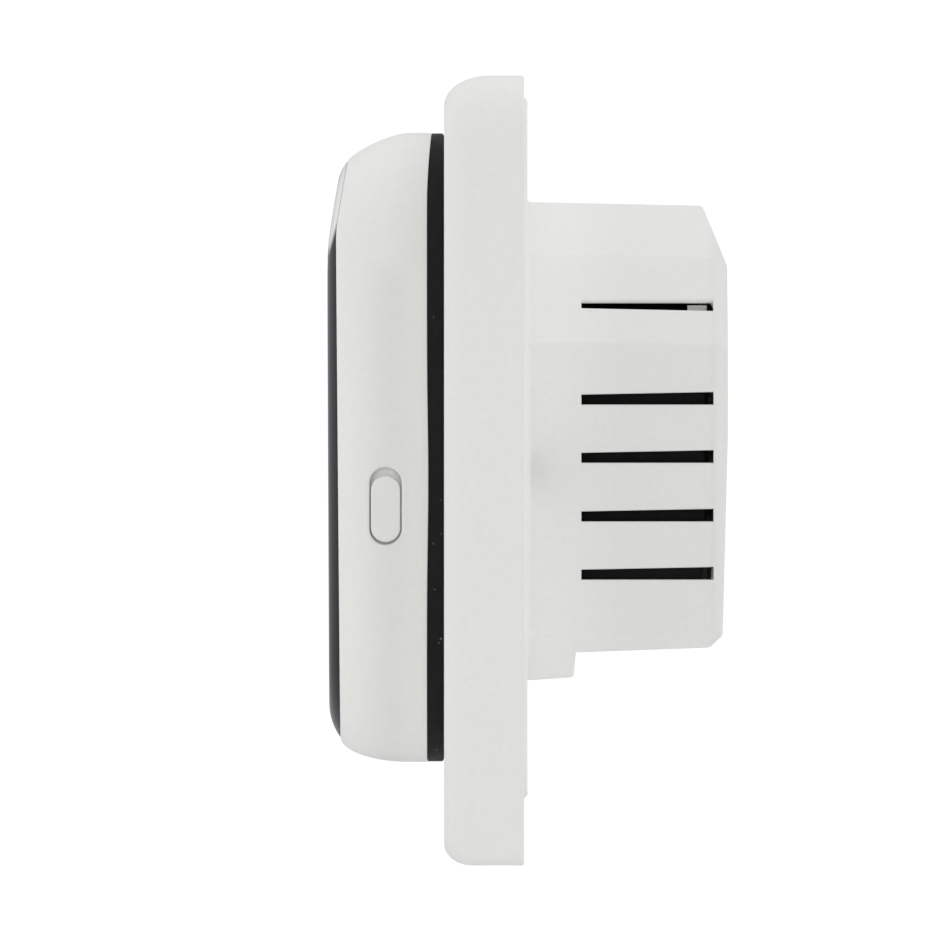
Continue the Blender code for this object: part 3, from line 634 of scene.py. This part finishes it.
# Painted light and shade in place of the fall-off of the light: depths in millimetres, and shares of the
# plastic's own tone. The shell is shaded in the middle of its side and lit near its back edge, and the
# housing is shaded towards its rear
HOUSING_PAINTED_SHADING = ((0.0, 1.0), (12.5, 0.91), (19.6, 0.905), (20.8, 0.86))
SHELL_PAINTED_SHADING = ((-19.5, 1.0), (-15.2, 0.942), (-11.5, 1.03))
# The shell's painted shading fades out under this height
SHELL_PAINTED_SHADING_TOP_Z = 24.5

FINISHES = {
    "white_abs": plastic("white_abs_satin", WHITE, 0.46),
    # The housing and the shell get painted light and shade that change with depth
    "housing_white": plastic_with_painted_shading("housing_satin_painted_shading", HOUSING_PAINTED_LIT_WHITE, 0.46, HOUSING_PAINTED_SHADING),
    "shell_white": plastic_with_painted_shading("shell_satin_painted_shading", SHELL_WHITE, 0.42, SHELL_PAINTED_SHADING, SHELL_PAINTED_SHADING_TOP_Z),
    "slider_white": plastic("slider_satin", (0.84, 0.84, 0.83), 0.38),
    "black_abs": dusty_black("black_abs_satin", (0.0112, 0.0112, 0.0122), 0.5, 0.5),
    "glossy_black": lens_finish(),
    "adhesive": foam_tape(),
    "display_glass": display_glass(),
    "diffuser": light_guide(),
    "board": circuit_board(),
    "component_black": dusty_black("moulded_black", (0.017, 0.017, 0.019), 0.45, 0.12),
    "capacitor_blue": sleeve("blue_sleeve", (0.045, 0.09, 0.30), 0.35),
    "film_yellow": sleeve("yellow_case", (0.62, 0.42, 0.06), 0.4),
    "sensor_epoxy": sleeve("epoxy_bead", (0.02, 0.02, 0.022), 0.25),
    "terminal_black": plastic("terminal_black_satin", (0.022, 0.022, 0.024), 0.45, 0.08, 4e-6),
    "zinc_steel": brushed("zinc_plate", (0.66, 0.66, 0.64), 0.32, (2500.0, 300.0, 2500.0)),
    "brass_cage": brushed("brass_plate", (0.74, 0.60, 0.30), 0.34, (400.0, 3000.0, 400.0)),
    "glass_tube": fuse_finish(),
}


def finish_of(slot):
    return FINISHES[slot].material


# ---- Control module

def build_lens():
    edge = lens_outline()

    def back(_, z):
        return parting_y(z) - SEAM / 2

    def roll_ring(turn):
        """turn runs from 1 at the rim to 0 where the rolled edge ends."""
        placed = []
        for u, v, away_u, away_v in edge:
            width = LENS_ROLL_WIDTH - LENS_ROLL_TOP_LOSS * max(0.0, away_v) ** 2
            x, z = u - away_u * width * (1.0 - turn), v - away_v * width * (1.0 - turn)
            flat, rim = front_y(x, z), parting_y(z) - SEAM
            placed.append((x, flat + (rim - flat) * turn**LENS_ROLL_POWER, z))
        return placed

    rings = [scaled_ring(edge, share, back, LENS_CENTRE) for share in (0.0, 0.3, 0.6, 0.85, 0.97, 1.0)]
    turns = (1.0, 0.985, 0.96, 0.92, 0.86, 0.78, 0.68, 0.56, 0.42, 0.28, 0.14, 0.0)
    rings += [roll_ring(turn) for turn in turns]
    inner = [(x, z) for x, _, z in rings[-1]]
    shares = (0.95, 0.88, 0.8, 0.7, 0.6, 0.5, 0.4, 0.3, 0.2, 0.1, 0.0)
    rings += [scaled_ring(inner, share, front_y, LENS_CENTRE) for share in shares]
    lens = plain_object("lens_body", loft(rings))
    finished(lens, "control_module", finish_of("glossy_black"), ["front_lens"])


def side_turn(share, away_v):
    """How far, from 0 to 1, the shell has turned in at a share of its depth. The top turns sooner and
    fuller."""
    held = SIDE_HOLD * (1.0 - away_v * away_v)
    share = max(0.0, share - held) / (1.0 - held)
    round_part = 1.0 - math.sqrt(max(0.0, 1.0 - share * share))
    slack = SIDE_SLACK + SIDE_SLACK * away_v
    return round_part + slack * (share**SLACK_POWER - round_part)


def back_taper(y, away_u):
    """How far the left and right sides draw in again towards the shell's back edge."""
    share = max(0.0, y - BELLY_Y) / (SHELL_BACK_Y - BELLY_Y)
    return BACK_TAPER * (share * away_u) ** 2


def shell_ring(share, thickness=0.0):
    """A ring of the shell's side at a share of the way from its straight part to the lens."""
    placed = []
    for outer, rim in zip(module_outline(), lens_outline()):
        turn = side_turn(share, outer[3])
        z = outer[1] + (rim[1] - outer[1]) * turn - outer[3] * thickness
        y = SHELL_ROUND_START_Y + (parting_y(z) + SEAM / 2 - SHELL_ROUND_START_Y) * share
        x = outer[0] + (rim[0] - outer[0]) * turn - outer[2] * (thickness + back_taper(y, outer[2]))
        placed.append((x, y, z))
    return placed


def side_x(y, z):
    """Where the shell's right side is."""
    start = SHELL_ROUND_START_Y
    share = (start - y) / (start - parting_y(z))
    turn = side_turn(min(1.0, max(0.0, share)), 0.0)
    return MODULE_HALF - (MODULE_HALF - LENS_HALF) * turn - back_taper(y, 1.0)


def stadium(centre, half, grow=0.0):
    return outline(half[0] + grow, half[1] + grow, half[0] + grow - 0.01, centre, side_steps=6)


def build_shell():
    side = module_outline()
    edge = lens_outline()
    window = outline(*DISPLAY_HALF, DISPLAY_CORNER, DISPLAY_CENTRE, side_steps=14)
    rings = []
    for inset, rise in ((0.12, 0.0), (0.04, 0.03), (0.0, 0.12), (0.0, 0.6)):
        def drawn_in(point, start=inset, y=SHELL_BACK_Y - rise):
            return start + back_taper(y, point[2])

        rings.append(ring(side, lambda _, z, up=rise: back_edge_y(z) - up, inset=drawn_in))
    rings += [shell_ring(math.sin(math.radians(step))) for step in range(0, 91, 5)]
    for share, deep in ((0.996, 0.04), (0.985, 0.06), (0.94, 0.06), (0.93, 0.35), (0.9, 0.35)):
        rings.append(scaled_ring(edge, share, lambda _, z, d=deep: parting_y(z) + d, LENS_CENTRE))
    for deep in (0.35, 1.2):
        rings.append(ring(window, lambda _, z, d=deep: parting_y(z) + d))
    rings.append(scaled_ring(edge, 0.9, lambda _, z: parting_y(z) + 1.2, LENS_CENTRE))
    rings += [shell_ring(share, SHELL_WALL) for share in (0.72, 0.6, 0.45, 0.3, 0.15, 0.0)]
    rings.append(ring(side, lambda _, z: back_edge_y(z), inset=SHELL_WALL))
    shell = plain_object("shell_body", loft(rings, closed=True))

    sections = ((0.0, -2.2), (0.0, -0.34), (0.03, -0.2), (0.09, -0.1))
    sections += ((0.2, -0.025), (0.34, 0.01), (0.36, 0.8))
    mouth = []
    for grow, offset in sections:
        shape = stadium(SLOT_CENTRE, SLOT_HALF, grow)
        mouth.append(ring(shape, lambda y, z, o=offset: side_x(y, z) + o, "YZ"))
    combine(shell, loft(mouth))
    finished(shell, "control_module", finish_of("shell_white"), ["module_shell"])


def build_knob():
    """Knob with rounded edges, its retaining flange close behind the slot, and the switch lever."""

    def behind(y, z):
        return side_x(y, z) - KNOB_FLANGE_DEPTH

    rings = [ring(stadium(KNOB_CENTRE, LEVER_HALF), level, "YZ") for level in LEVER_X]
    rings.append(ring(stadium(KNOB_CENTRE, KNOB_FLANGE_HALF), KNOB_FLANGE_X, "YZ"))
    rings += [ring(stadium(KNOB_CENTRE, half), behind, "YZ") for half in (KNOB_FLANGE_HALF, KNOB_HALF)]
    for angle in range(0, 91, 15):
        across = KNOB_ROUND * (1.0 - math.cos(math.radians(angle)))
        level = KNOB_FACE_X - KNOB_ROUND * (1.0 - math.sin(math.radians(angle)))
        rings.append(ring(stadium(KNOB_CENTRE, KNOB_HALF, -across), level, "YZ"))
    knob = plain_object("slider_knob", loft(rings))
    finished(knob, "power_slider", finish_of("slider_white"), ["power_slider"])


def post_places():
    return [(sx * POST_X, MIDDLE_Z + sz * POST_DZ) for sx in (-1, 1) for sz in (-1, 1)]


def hook_places():
    return [(sx * HOOK_X, MIDDLE_Z + sz * HOOK_DZ) for sx in (-1, 1) for sz in (-1, 1)]


def hook(x, z):
    """A snap hook with its barb away from the module's middle."""
    out = 1.0 if z > MODULE_CENTRE[1] else -1.0
    side = (
        (-0.7, -10.2),
        (0.7, -10.2),
        (0.7, -5.55),
        (1.22, -5.3),
        (1.3, -5.15),
        (1.2, -4.98),
        (0.5, -4.35),
        (0.3, -4.3),
        (-0.55, -4.3),
        (-0.7, -4.45),
    )
    ends = (x - HOOK_HALF_WIDTH, x + HOOK_HALF_WIDTH)
    return loft([[(end, y, z + out * dz) for dz, y in side] for end in ends])


def build_rear_cover():
    """Black back of the module: a plate with a rounded edge, a lip, four bosses and four hooks."""
    edge = module_outline(0.05)
    rings = [ring(edge, COVER_BACK_Y, inset=0.3), ring(edge, COVER_BACK_Y - 0.06, inset=0.12)]
    rings += [ring(edge, COVER_BACK_Y - 0.16, inset=0.03), ring(edge, COVER_BACK_Y - 0.3)]
    rings.append(ring(edge, lambda _, z: back_edge_y(z) + 0.04))
    rings += [ring(edge, y, inset=LIP_INSET) for y in (SHELL_BACK_Y + 0.1, COVER_INNER_Y)]
    rings += [ring(edge, y, inset=LIP_INSET + 1.0) for y in (COVER_INNER_Y, COVER_FLOOR_Y)]
    cover = plain_object("rear_cover", loft(rings))
    bosses = [turned(((2.9, 0.0), (2.9, 2.0)), (x, BOSS_FOOT_Y, z)) for x, z in post_places()]
    combine(cover, together(bosses + [hook(x, z) for x, z in hook_places()]), "UNION")
    seat = ((1.2, 0.0), (1.2, 2.4), (2.3, 2.4), (2.3, 3.75), (2.45, 3.9), (2.45, 5.0))
    seats = [turned(seat, (x, SEAT_FOOT_Y, z)) for x, z in post_places()]
    half_x, half_z = PLUG_WINDOW_HALF
    window = slab((-half_x, -13.0, PLUG_Z - half_z), (half_x, -8.0, PLUG_Z + half_z), 0.5)
    combine(cover, together(seats + [window]))
    finished(cover, "control_module", finish_of("black_abs"), ["module_rear_cover"])


# Segments of a digit: bars as (from, to) on a grid one unit wide and two high
SEGMENTS = {
    "a": ((0, 2), (1, 2)),
    "b": ((1, 2), (1, 1)),
    "c": ((1, 1), (1, 0)),
    "d": ((0, 0), (1, 0)),
    "e": ((0, 1), (0, 0)),
    "f": ((0, 2), (0, 1)),
    "g": ((0, 1), (1, 1)),
}
DIGITS = {"1": "bc", "2": "abged", "3": "abgcd", "4": "fgbc", "5": "afgcd", "6": "afgecd"}


def mark(bm, points):
    """A thin plate on the lens over a polygon of (x, z) points."""
    rows = []
    for lift in (-0.012, 0.05):
        rows.append([bm.verts.new((x, front_y(x, z) + lift, z)) for x, z in points])
    bm.faces.new(rows[0])
    bm.faces.new(rows[1])
    for index in range(len(points)):
        after = (index + 1) % len(points)
        bm.faces.new((rows[0][index], rows[0][after], rows[1][after], rows[1][index]))


def bar(bm, start, end, width):
    """A bar with pointed ends between two points."""
    a, b = Vector(start), Vector(end)
    along = (b - a).normalized()
    side = Vector((-along.y, along.x)) * width / 2
    gap = along * 0.35 * width
    tip = along * width * 0.5
    corners = (a + gap, a + gap + tip + side, b - gap - tip + side, b - gap, b - gap - tip - side)
    mark(bm, [*corners, a + gap + tip - side])


def arc_band(bm, centre, radius, width, start, end, steps):
    """A curved stroke, in degrees anticlockwise from the right, as a row of short plates."""
    for index in range(steps):
        low = math.radians(start + (end - start) * index / steps)
        high = math.radians(start + (end - start) * (index + 1) / steps)
        points = []
        inner = radius - width
        for angle, reach in ((low, radius), (high, radius), (high, inner), (low, inner)):
            points.append((centre[0] + reach * math.cos(angle), centre[1] + reach * math.sin(angle)))
        mark(bm, points)


def build_marks():
    """Generic digits on the display and four touch marks under it."""
    bm = bmesh.new()
    for digit, left in DISPLAY_DIGITS:
        for segment in DIGITS[digit]:
            ends = [(left + u * DIGIT_SIZE, DIGIT_FOOT_Z + v * DIGIT_SIZE) for u, v in SEGMENTS[segment]]
            bar(bm, *ends, DIGIT_STROKE)
    decimal_point = [(3.35 + dx, 1.05 + dz) for dx, dz in ((0, 0), (1.1, 0), (1.1, 1.1), (0, 1.1))]
    mark(bm, decimal_point)
    arc_band(bm, (15.2, 13.4), 1.3, RING_STROKE, 0, 360, 28)
    arc_band(bm, (-18.0, TOUCH_Z), 2.1, RING_STROKE, -55, 235, 26)
    bar(bm, (-18.0, -17.4), (-18.0, -13.9), TOUCH_STROKE)
    for x, rise in ((-6.0, -1.0), (6.0, 1.0)):
        foot_z, tip_z = TOUCH_Z - 0.8 * rise, TOUCH_Z + rise
        bar(bm, (x - 1.9, foot_z), (x + 0.1, tip_z), TOUCH_STROKE)
        bar(bm, (x + 1.9, foot_z), (x - 0.1, tip_z), TOUCH_STROKE)
    for row in (-1, 0, 1):
        bar(bm, (15.9, TOUCH_Z + 1.4 * row), (20.1, TOUCH_Z + 1.4 * row), 0.48)
    marks = plain_object("lens_marks", facing_out(bm))
    finish = plastic("printed_marks", (0.50, 0.53, 0.55), 0.3, 0.02, 1e-6)
    finished(marks, "control_module", finish.material)


# ---- Cover frame

def build_frame():
    edge = outline(FRAME_HALF, FRAME_HALF, FRAME_CORNER, side_steps=8)
    hollow_half = FRAME_HALF - FRAME_WALL
    hollow = outline(hollow_half, hollow_half, FRAME_CORNER - FRAME_WALL, side_steps=8)
    hole_half = FRAME_OPENING_HALF
    hole = outline(hole_half, hole_half, FRAME_OPENING_CORNER, (0.0, MIDDLE_Z), side_steps=8)
    rings = []
    for inset, rise in ((0.3, 0.0), (0.12, 0.04), (0.03, 0.14), (0.0, 0.3)):
        rings.append(ring(edge, FRAME_BACK_Y - rise, inset=inset))
    for angle in range(0, 91, 6):
        points = []
        turn, forward = 1.0 - math.cos(math.radians(angle)), math.sin(math.radians(angle))
        for point in edge:
            inset = (FRAME_ROUND_INSET[0] + FRAME_ROUND_INSET[1] * point[3]) * turn
            depth = FRAME_ROUND_DEPTH[0] + FRAME_ROUND_DEPTH[1] * point[3]
            y = FRAME_FRONT_Y + depth * (1.0 - forward)
            points.append((point[0] - point[2] * inset, y, point[1] - point[3] * inset))
        rings.append(points)
    for grow, deep in ((0.3, 0.0), (0.12, 0.05), (0.03, 0.14), (0.0, 0.3), (0.0, FRAME_FRONT_WALL)):
        rings.append(ring(hole, FRAME_FRONT_Y + deep, inset=-grow))
    rings.append(ring(hollow, FRAME_FRONT_Y + FRAME_FRONT_WALL))
    rings.append(ring(hollow, FRAME_BACK_Y))
    cover = plain_object("frame_body", loft(rings, closed=True))
    finished(cover, "cover_frame", finish_of("white_abs"), ["outer_frame"])


# ---- Rear housing

def facet_planes(deeper):
    """Planes of the box's drafted sides, moved in by deeper: point, way out, and way out without draft."""
    right = list(BOX_OUTLINE)
    loop = right + [(-x, z) for x, z in reversed(right)]
    planes = []
    for index, (x, z) in enumerate(loop):
        next_x, next_z = loop[(index + 1) % len(loop)]
        flat = Vector((z - next_z, 0.0, next_x - x)).normalized()
        if flat.dot(Vector((x, 0.0, z))) < 0:
            flat.negate()
        draft = BOX_BOTTOM_DRAFT if flat.z < -0.9 else BOX_DRAFT
        normal = Vector((flat.x, draft, flat.z)).normalized()
        planes.append((Vector((x, 0.0, z)) - normal * deeper, normal, flat))
    return planes


def rear_planes(sides, deeper):
    """Planes that close the box at the back: the rear faces, their chamfers and the sloping top."""
    planes = []
    for (y, z), (toward_y, toward_z) in REAR_SLOPES:
        normal = Vector((0.0, toward_y, toward_z)).normalized()
        planes.append((Vector((0.0, y, z)) - normal * deeper, normal))
    for point, _, flat in sides:
        if abs(flat.x) < 0.1:
            continue
        fall = flat * (BOX_DRAFT * BOX_REAR_Y + BOX_RIM_CHAMFER)
        normal = (flat + Vector((0.0, 1.0, 0.0))).normalized()
        on_rim = Vector((point.x, BOX_REAR_Y, point.z)) - fall
        planes.append((on_rim - normal * deeper * BOX_RIM_WALL_SHARE, normal))
    return planes


def hull(planes, front_y_level, rounding=0.0):
    """The solid inside all the planes and behind a level, with its edges rounded except at that level."""
    bm = bmesh.new()
    bmesh.ops.create_cube(bm, size=200.0)
    level = (Vector((0.0, front_y_level, 0.0)), Vector((0.0, -1.0, 0.0)))
    for point, normal in [*planes, level]:
        everything = bm.verts[:] + bm.edges[:] + bm.faces[:]
        cut = bmesh.ops.bisect_plane(
            bm, geom=everything, plane_co=point, plane_no=normal, clear_outer=True
        )
        border = [item for item in cut["geom_cut"] if isinstance(item, bmesh.types.BMEdge)]
        if border:
            bmesh.ops.edgenet_fill(bm, edges=border)
    bmesh.ops.remove_doubles(bm, verts=bm.verts, dist=max(0.001, rounding / 2))
    if rounding:
        edges = [e for e in bm.edges if any(v.co.y > front_y_level + 0.01 for v in e.verts)]
        bmesh.ops.bevel(bm, geom=edges, offset=rounding, segments=3, profile=0.5, affect="EDGES")
    return facing_out(bm)


def box_hull(deeper, front_level, rounding=0.0):
    sides = facet_planes(deeper)
    planes = [(point, normal) for point, normal, _ in sides] + rear_planes(sides, deeper)
    return hull(planes, front_level, rounding)


def step_hull():
    """The shallow step under the box."""
    planes = [
        (Vector((0.0, STEP_DEPTH, STEP_REAR_Z)), Vector((0.0, 1.0, -STEP_REAR_DRAFT)).normalized()),
        (Vector((0.0, 0.0, STEP_BOTTOM_Z)), Vector((0.0, STEP_BOTTOM_DRAFT, -1.0)).normalized()),
        (Vector((0.0, 0.0, STEP_TOP_Z)), Vector((0.0, 0.0, 1.0))),
    ]
    sides = facet_planes(STEP_INSET)
    planes += [(point, normal) for point, normal, flat in sides if abs(flat.x) > 0.7 and flat.z < 0.1]
    return hull(planes, -1.0, BOX_EDGE_ROUND)


def offset_loop(distance):
    """The box's outline moved outwards by a distance."""
    right = list(BOX_OUTLINE)
    loop = [Vector(point) for point in right + [(-x, z) for x, z in reversed(right)]]
    moved = []
    for index, corner in enumerate(loop):
        before, after = loop[index - 1], loop[(index + 1) % len(loop)]
        first, second = (corner - before).normalized(), (after - corner).normalized()
        away = [Vector((-way.y, way.x)) for way in (first, second)]
        away = [way if way.dot(corner) > 0 else -way for way in away]
        both = away[0] + away[1]
        moved.append(corner + both * (distance / (1.0 + away[0].dot(away[1]))))
    return moved


def skirt():
    """A small fillet where the box meets the flange."""
    rows = ((0.45, -0.3), (0.45, 0.0), (0.26, 0.05), (0.12, 0.15), (0.03, 0.32), (-0.02, 0.5), (-0.4, 0.7))
    return loft([[(x, y, z) for x, z in offset_loop(distance)] for distance, y in rows])


def surface_x(plane, y, z):
    point, normal = plane[0], plane[1]
    return point.x - (normal.y * (y - point.y) + normal.z * (z - point.z)) / normal.x


def side_vent(side, plane, low_z):
    """A bar through the side wall that grows taller towards the rear, with a slightly flared mouth."""
    rings = []
    for offset, grow in ((-3.6, 0.0), (-0.2, 0.0), (-0.09, 0.04), (0.0, 0.14), (2.0, 0.14)):
        corners = []
        for y, rise, out_y, out_z in (
            (VENT_Y[0], 0.0, -0.4, -1.0),
            (VENT_Y[1], 0.0, 0.4, -1.0),
            (VENT_Y[1], VENT_HEIGHTS[1], 0.4, 0.5),
            (VENT_Y[0], VENT_HEIGHTS[0], -0.4, 0.5),
        ):
            place_y, place_z = y + out_y * grow, low_z + rise + out_z * grow
            corners.append((side * (surface_x(plane, place_y, place_z) + offset), place_y, place_z))
        rings.append(corners)
    return loft(rings)


def upper_vent(side, plane, rise):
    """The slot through the upper bevel: cut straight inwards, with a rounded upper lip."""
    flat = Vector((plane[2].x, plane[2].z)).normalized()
    arc_steps = 8
    half_wedge = (math.pi / 2 - math.atan2(flat.y, flat.x)) / 2
    rings = []
    for y, low, high in zip(VENT_Y, UPPER_VENT_LOW_Z, UPPER_VENT_HIGH_Z):
        low, high = low + rise, high + rise
        corner = Vector((surface_x(plane, y, high), high))
        reach = UPPER_VENT_LIP / math.tan(half_wedge)
        centre = corner + Vector((-reach, UPPER_VENT_LIP))
        points = [(UPPER_VENT_INNER_X, low), (surface_x(plane, y, low) + 1.5, low)]
        top_turn = math.atan2(flat.y, flat.x)
        for step in range(arc_steps + 1):
            angle = top_turn + (-math.pi / 2 - top_turn) * step / arc_steps
            on_arc = centre + Vector((math.cos(angle), math.sin(angle))) * UPPER_VENT_LIP
            if step == 0:
                outside = on_arc + flat * 1.2
                points.append((outside.x, outside.y))
            points.append((on_arc.x, on_arc.y))
        points.append((UPPER_VENT_INNER_X, high))
        rings.append([(side * x, y, z) for x, z in points])
    return loft(rings)


def vent_cutters():
    sides = facet_planes(0.0)
    upper, flank = sides[1], sides[2]
    cutters = []
    for side, rise in ((1.0, 0.0), (-1.0, LEFT_VENT_RISE)):
        cutters.append(upper_vent(side, upper, rise))
        cutters += [side_vent(side, flank, low_z + rise) for low_z in VENT_LOW_Z]
    return cutters


def pole_places():
    return [(index - (POLE_COUNT - 1) / 2) * POLE_PITCH for index in range(POLE_COUNT)]


def rear_y(z):
    """Depth of the lower rear face, which leans in towards the bottom."""
    (edge_y, edge_z), (toward_y, toward_z) = REAR_SLOPES[1]
    return edge_y - (z - edge_z) * toward_z / toward_y


def numeral(digit, middle_x, z):
    """Shallow cuts in the rear face that make up a digit, which reads right from behind."""
    size, half_width, depth = 0.95, 0.13, 0.25
    cuts = []
    for segment in DIGITS[digit]:
        (u0, v0), (u1, v1) = SEGMENTS[segment]
        across = sorted(middle_x + (0.5 - u) * size for u in (u0, u1))
        up = sorted(z + v * size for v in (v0, v1))
        floor_y = rear_y(sum(up) / 2) - depth
        low = (across[0] - half_width, floor_y, up[0] - half_width)
        cuts.append(slab(low, (across[1] + half_width, floor_y + 1.0, up[1] + half_width)))
    return cuts


def housing_screw_places():
    offset = HOUSING_SCREW_OFFSET
    return [(sx * offset, MIDDLE_Z + sz * offset) for sx in (-1, 1) for sz in (-1, 1)]


def build_housing():
    housing = plain_object("housing_body", box_hull(0.0, -1.0, BOX_EDGE_ROUND))
    combine(housing, step_hull(), "UNION")
    flange = outline(FLANGE_HALF, FLANGE_HALF, FLANGE_CORNER, (0.0, MIDDLE_Z), side_steps=4)
    levels = ((0.3, FLANGE_FRONT_Y), (0.08, FLANGE_FRONT_Y + 0.08), (0.0, FLANGE_FRONT_Y + 0.3))
    levels += ((0.0, -0.46), (0.08, -0.3), (0.42, 0.0))
    plate = loft([ring(flange, y, inset=inset) for inset, y in levels])
    combine(housing, plate, "UNION")
    combine(housing, skirt(), "UNION")
    combine(housing, box_hull(BOX_WALL, -5.0))
    combine(housing, slab(*RIB), "UNION")
    cutters = vent_cutters()
    for sx in (-1, 1):
        slot = outline(*FIXING_SLOT_HALF, FIXING_SLOT_HALF[1] - 0.01, (sx * FIXING_X, 0.0))
        levels = ((0.0, -3.0), (0.0, -0.35), (0.12, -0.1), (0.3, 0.02), (0.3, 1.0))
        cutters.append(loft([ring(slot, y, inset=-grow) for grow, y in levels]))
    screw_hole = ((SCREW_HOLE_RADIUS, 0.0), (SCREW_HOLE_RADIUS, 4.0))
    cutters += [turned(screw_hole, (x, -3.0, z)) for x, z in housing_screw_places()]
    driver = ((2.4, 0.0), (2.4, 2.6), (2.46, 2.78), (2.62, 2.92), (2.62, 4.0))
    cutters += [turned(driver, (x, 19.0, TERMINAL_Z)) for x in pole_places()]
    for x in pole_places():
        low = (x - ENTRY_HALF, ENTRY_Y - ENTRY_HALF, ENTRY_Z[0])
        cutters.append(slab(low, (x + ENTRY_HALF, ENTRY_Y + ENTRY_HALF, ENTRY_Z[1])))
    for digit, x in zip("123456", reversed(pole_places())):
        cutters += numeral(digit, x, NUMERAL_Z)
    for cutter in cutters:
        combine(housing, cutter)
    finished(housing, "base", finish_of("housing_white"), ["rear_housing"])


# ---- The remaining CAD nodes keep their shape, and get softened edges and a finish

CAD_EDGE_WIDTH = 0.12
CAD_EDGE_ANGLE = math.radians(40)


def dress_cad_nodes():
    slots = {part["node"]: part["material_slot"] for part in frame["record"]["subparts"]}
    for name, node in frame["nodes"].items():
        if node.hide_render:
            continue
        node.data.materials.clear()
        node.data.materials.append(finish_of(slots[name]))
        bevel = node.modifiers.new("edges", "BEVEL")
        bevel.width = CAD_EDGE_WIDTH * MM
        bevel.segments = 2
        bevel.limit_method = "ANGLE"
        bevel.angle_limit = CAD_EDGE_ANGLE
        bevel.harden_normals = False


# ---- Studio

FLOOR_RADIUS = 560.0
FLOOR_Z = -60.0
BACKDROP = (1.05, 1.05, 1.05, 1.0)
SENSOR = 36.0

# The camera looks at this point from this many metres away, and sees this much to each side of it
AIM = (36.0, -5.715, -0.49)
DISTANCE = 4.0
HALF_VIEW = 51.71


def add_floor():
    bm = bmesh.new()
    bmesh.ops.create_circle(bm, cap_ends=True, segments=96, radius=FLOOR_RADIUS)
    bmesh.ops.translate(bm, verts=bm.verts, vec=(0.0, 0.0, FLOOR_Z))
    floor = plain_object("floor", bm)
    finish = Finish("floor_paper", 0.9)
    tone = finish.noise(12.0)
    finish.colour(finish.mixed(tone, (0.955, 0.955, 0.955, 1.0), (0.975, 0.975, 0.975, 1.0)))
    finish.bump(finish.noise(300.0), 2e-5, 0.3)
    floor.data.materials.append(finish.material)
    floor.visible_glossy = False


# Light from each side as (red, green, blue): what lights the faces, and what glossy faces mirror
SURROUND = {
    ("X", 1.0): (0.605, 0.585, 0.55),
    ("X", -1.0): (1.10, 1.07, 1.02),
    ("Y", 1.0): (1.01, 1.03, 0.98),
    ("Y", -1.0): (0.94, 0.95, 0.91),
    ("Z", 1.0): (1.14, 1.15, 1.18),
    ("Z", -1.0): (0.95, 0.95, 0.95),
}
REFLECTIONS = {
    ("X", 1.0): (0.26, 0.25, 0.26),
    ("X", -1.0): (0.40, 0.40, 0.43),
    ("Y", 1.0): (0.41, 0.42, 0.45),
    ("Y", -1.0): (0.50, 0.51, 0.54),
    ("Z", 1.0): (0.40, 0.40, 0.46),
    ("Z", -1.0): (0.35, 0.35, 0.39),
}


def six_sided(tree, direction, sides):
    """A colour for every direction, blended evenly from the colours of six sides."""
    total = None
    for (axis, sign), colour in sides.items():
        facing = tree.nodes.new("ShaderNodeMath")
        facing.operation = "MULTIPLY"
        facing.use_clamp = True
        tree.links.new(direction.outputs[axis], facing.inputs[0])
        facing.inputs[1].default_value = sign
        squared = tree.nodes.new("ShaderNodeMath")
        squared.operation = "POWER"
        tree.links.new(facing.outputs[0], squared.inputs[0])
        squared.inputs[1].default_value = 2.0
        scaled = tree.nodes.new("ShaderNodeVectorMath")
        scaled.operation = "SCALE"
        scaled.inputs[0].default_value = colour
        tree.links.new(squared.outputs[0], scaled.inputs["Scale"])
        if total is None:
            total = scaled.outputs[0]
            continue
        added = tree.nodes.new("ShaderNodeVectorMath")
        added.operation = "ADD"
        tree.links.new(total, added.inputs[0])
        tree.links.new(scaled.outputs[0], added.inputs[1])
        total = added.outputs[0]
    return total


def add_world():
    """A soft studio surround that the camera sees as plain white."""
    world = bpy.data.worlds.new("studio")
    world.use_nodes = True
    bpy.context.scene.world = world
    tree = world.node_tree
    direction = tree.nodes.new("ShaderNodeSeparateXYZ")
    tree.links.new(tree.nodes.new("ShaderNodeTexCoord").outputs["Generated"], direction.inputs[0])
    rays = tree.nodes.new("ShaderNodeLightPath").outputs
    mirrored = tree.nodes.new("ShaderNodeMixRGB")
    tree.links.new(rays["Is Glossy Ray"], mirrored.inputs["Fac"])
    tree.links.new(six_sided(tree, direction, SURROUND), mirrored.inputs["Color1"])
    tree.links.new(six_sided(tree, direction, REFLECTIONS), mirrored.inputs["Color2"])
    seen = tree.nodes.new("ShaderNodeMixRGB")
    tree.links.new(rays["Is Camera Ray"], seen.inputs["Fac"])
    tree.links.new(mirrored.outputs["Color"], seen.inputs["Color1"])
    seen.inputs["Color2"].default_value = BACKDROP
    tree.links.new(seen.outputs["Color"], tree.nodes["Background"].inputs["Color"])


def add_camera():
    """A long lens square to the right side, far enough off that its lines look parallel."""
    camera = bpy.data.cameras.new("camera")
    camera.sensor_width = SENSOR
    camera.lens = SENSOR / 2 / (HALF_VIEW * MM / DISTANCE)
    camera.clip_end = 100.0
    holder = bpy.data.objects.new("camera", camera)
    holder.location = (AIM[0] * MM + DISTANCE, AIM[1] * MM, AIM[2] * MM)
    holder.rotation_euler = (math.pi / 2, 0.0, math.pi / 2)
    bpy.context.scene.collection.objects.link(holder)
    bpy.context.scene.camera = holder


build_lens()
build_shell()
build_knob()
build_rear_cover()
build_marks()
build_frame()
build_housing()
dress_cad_nodes()
add_floor()
add_world()
add_camera()
bpy.context.scene.view_settings.view_transform = "Standard"

bpy.context.view_layer.update()
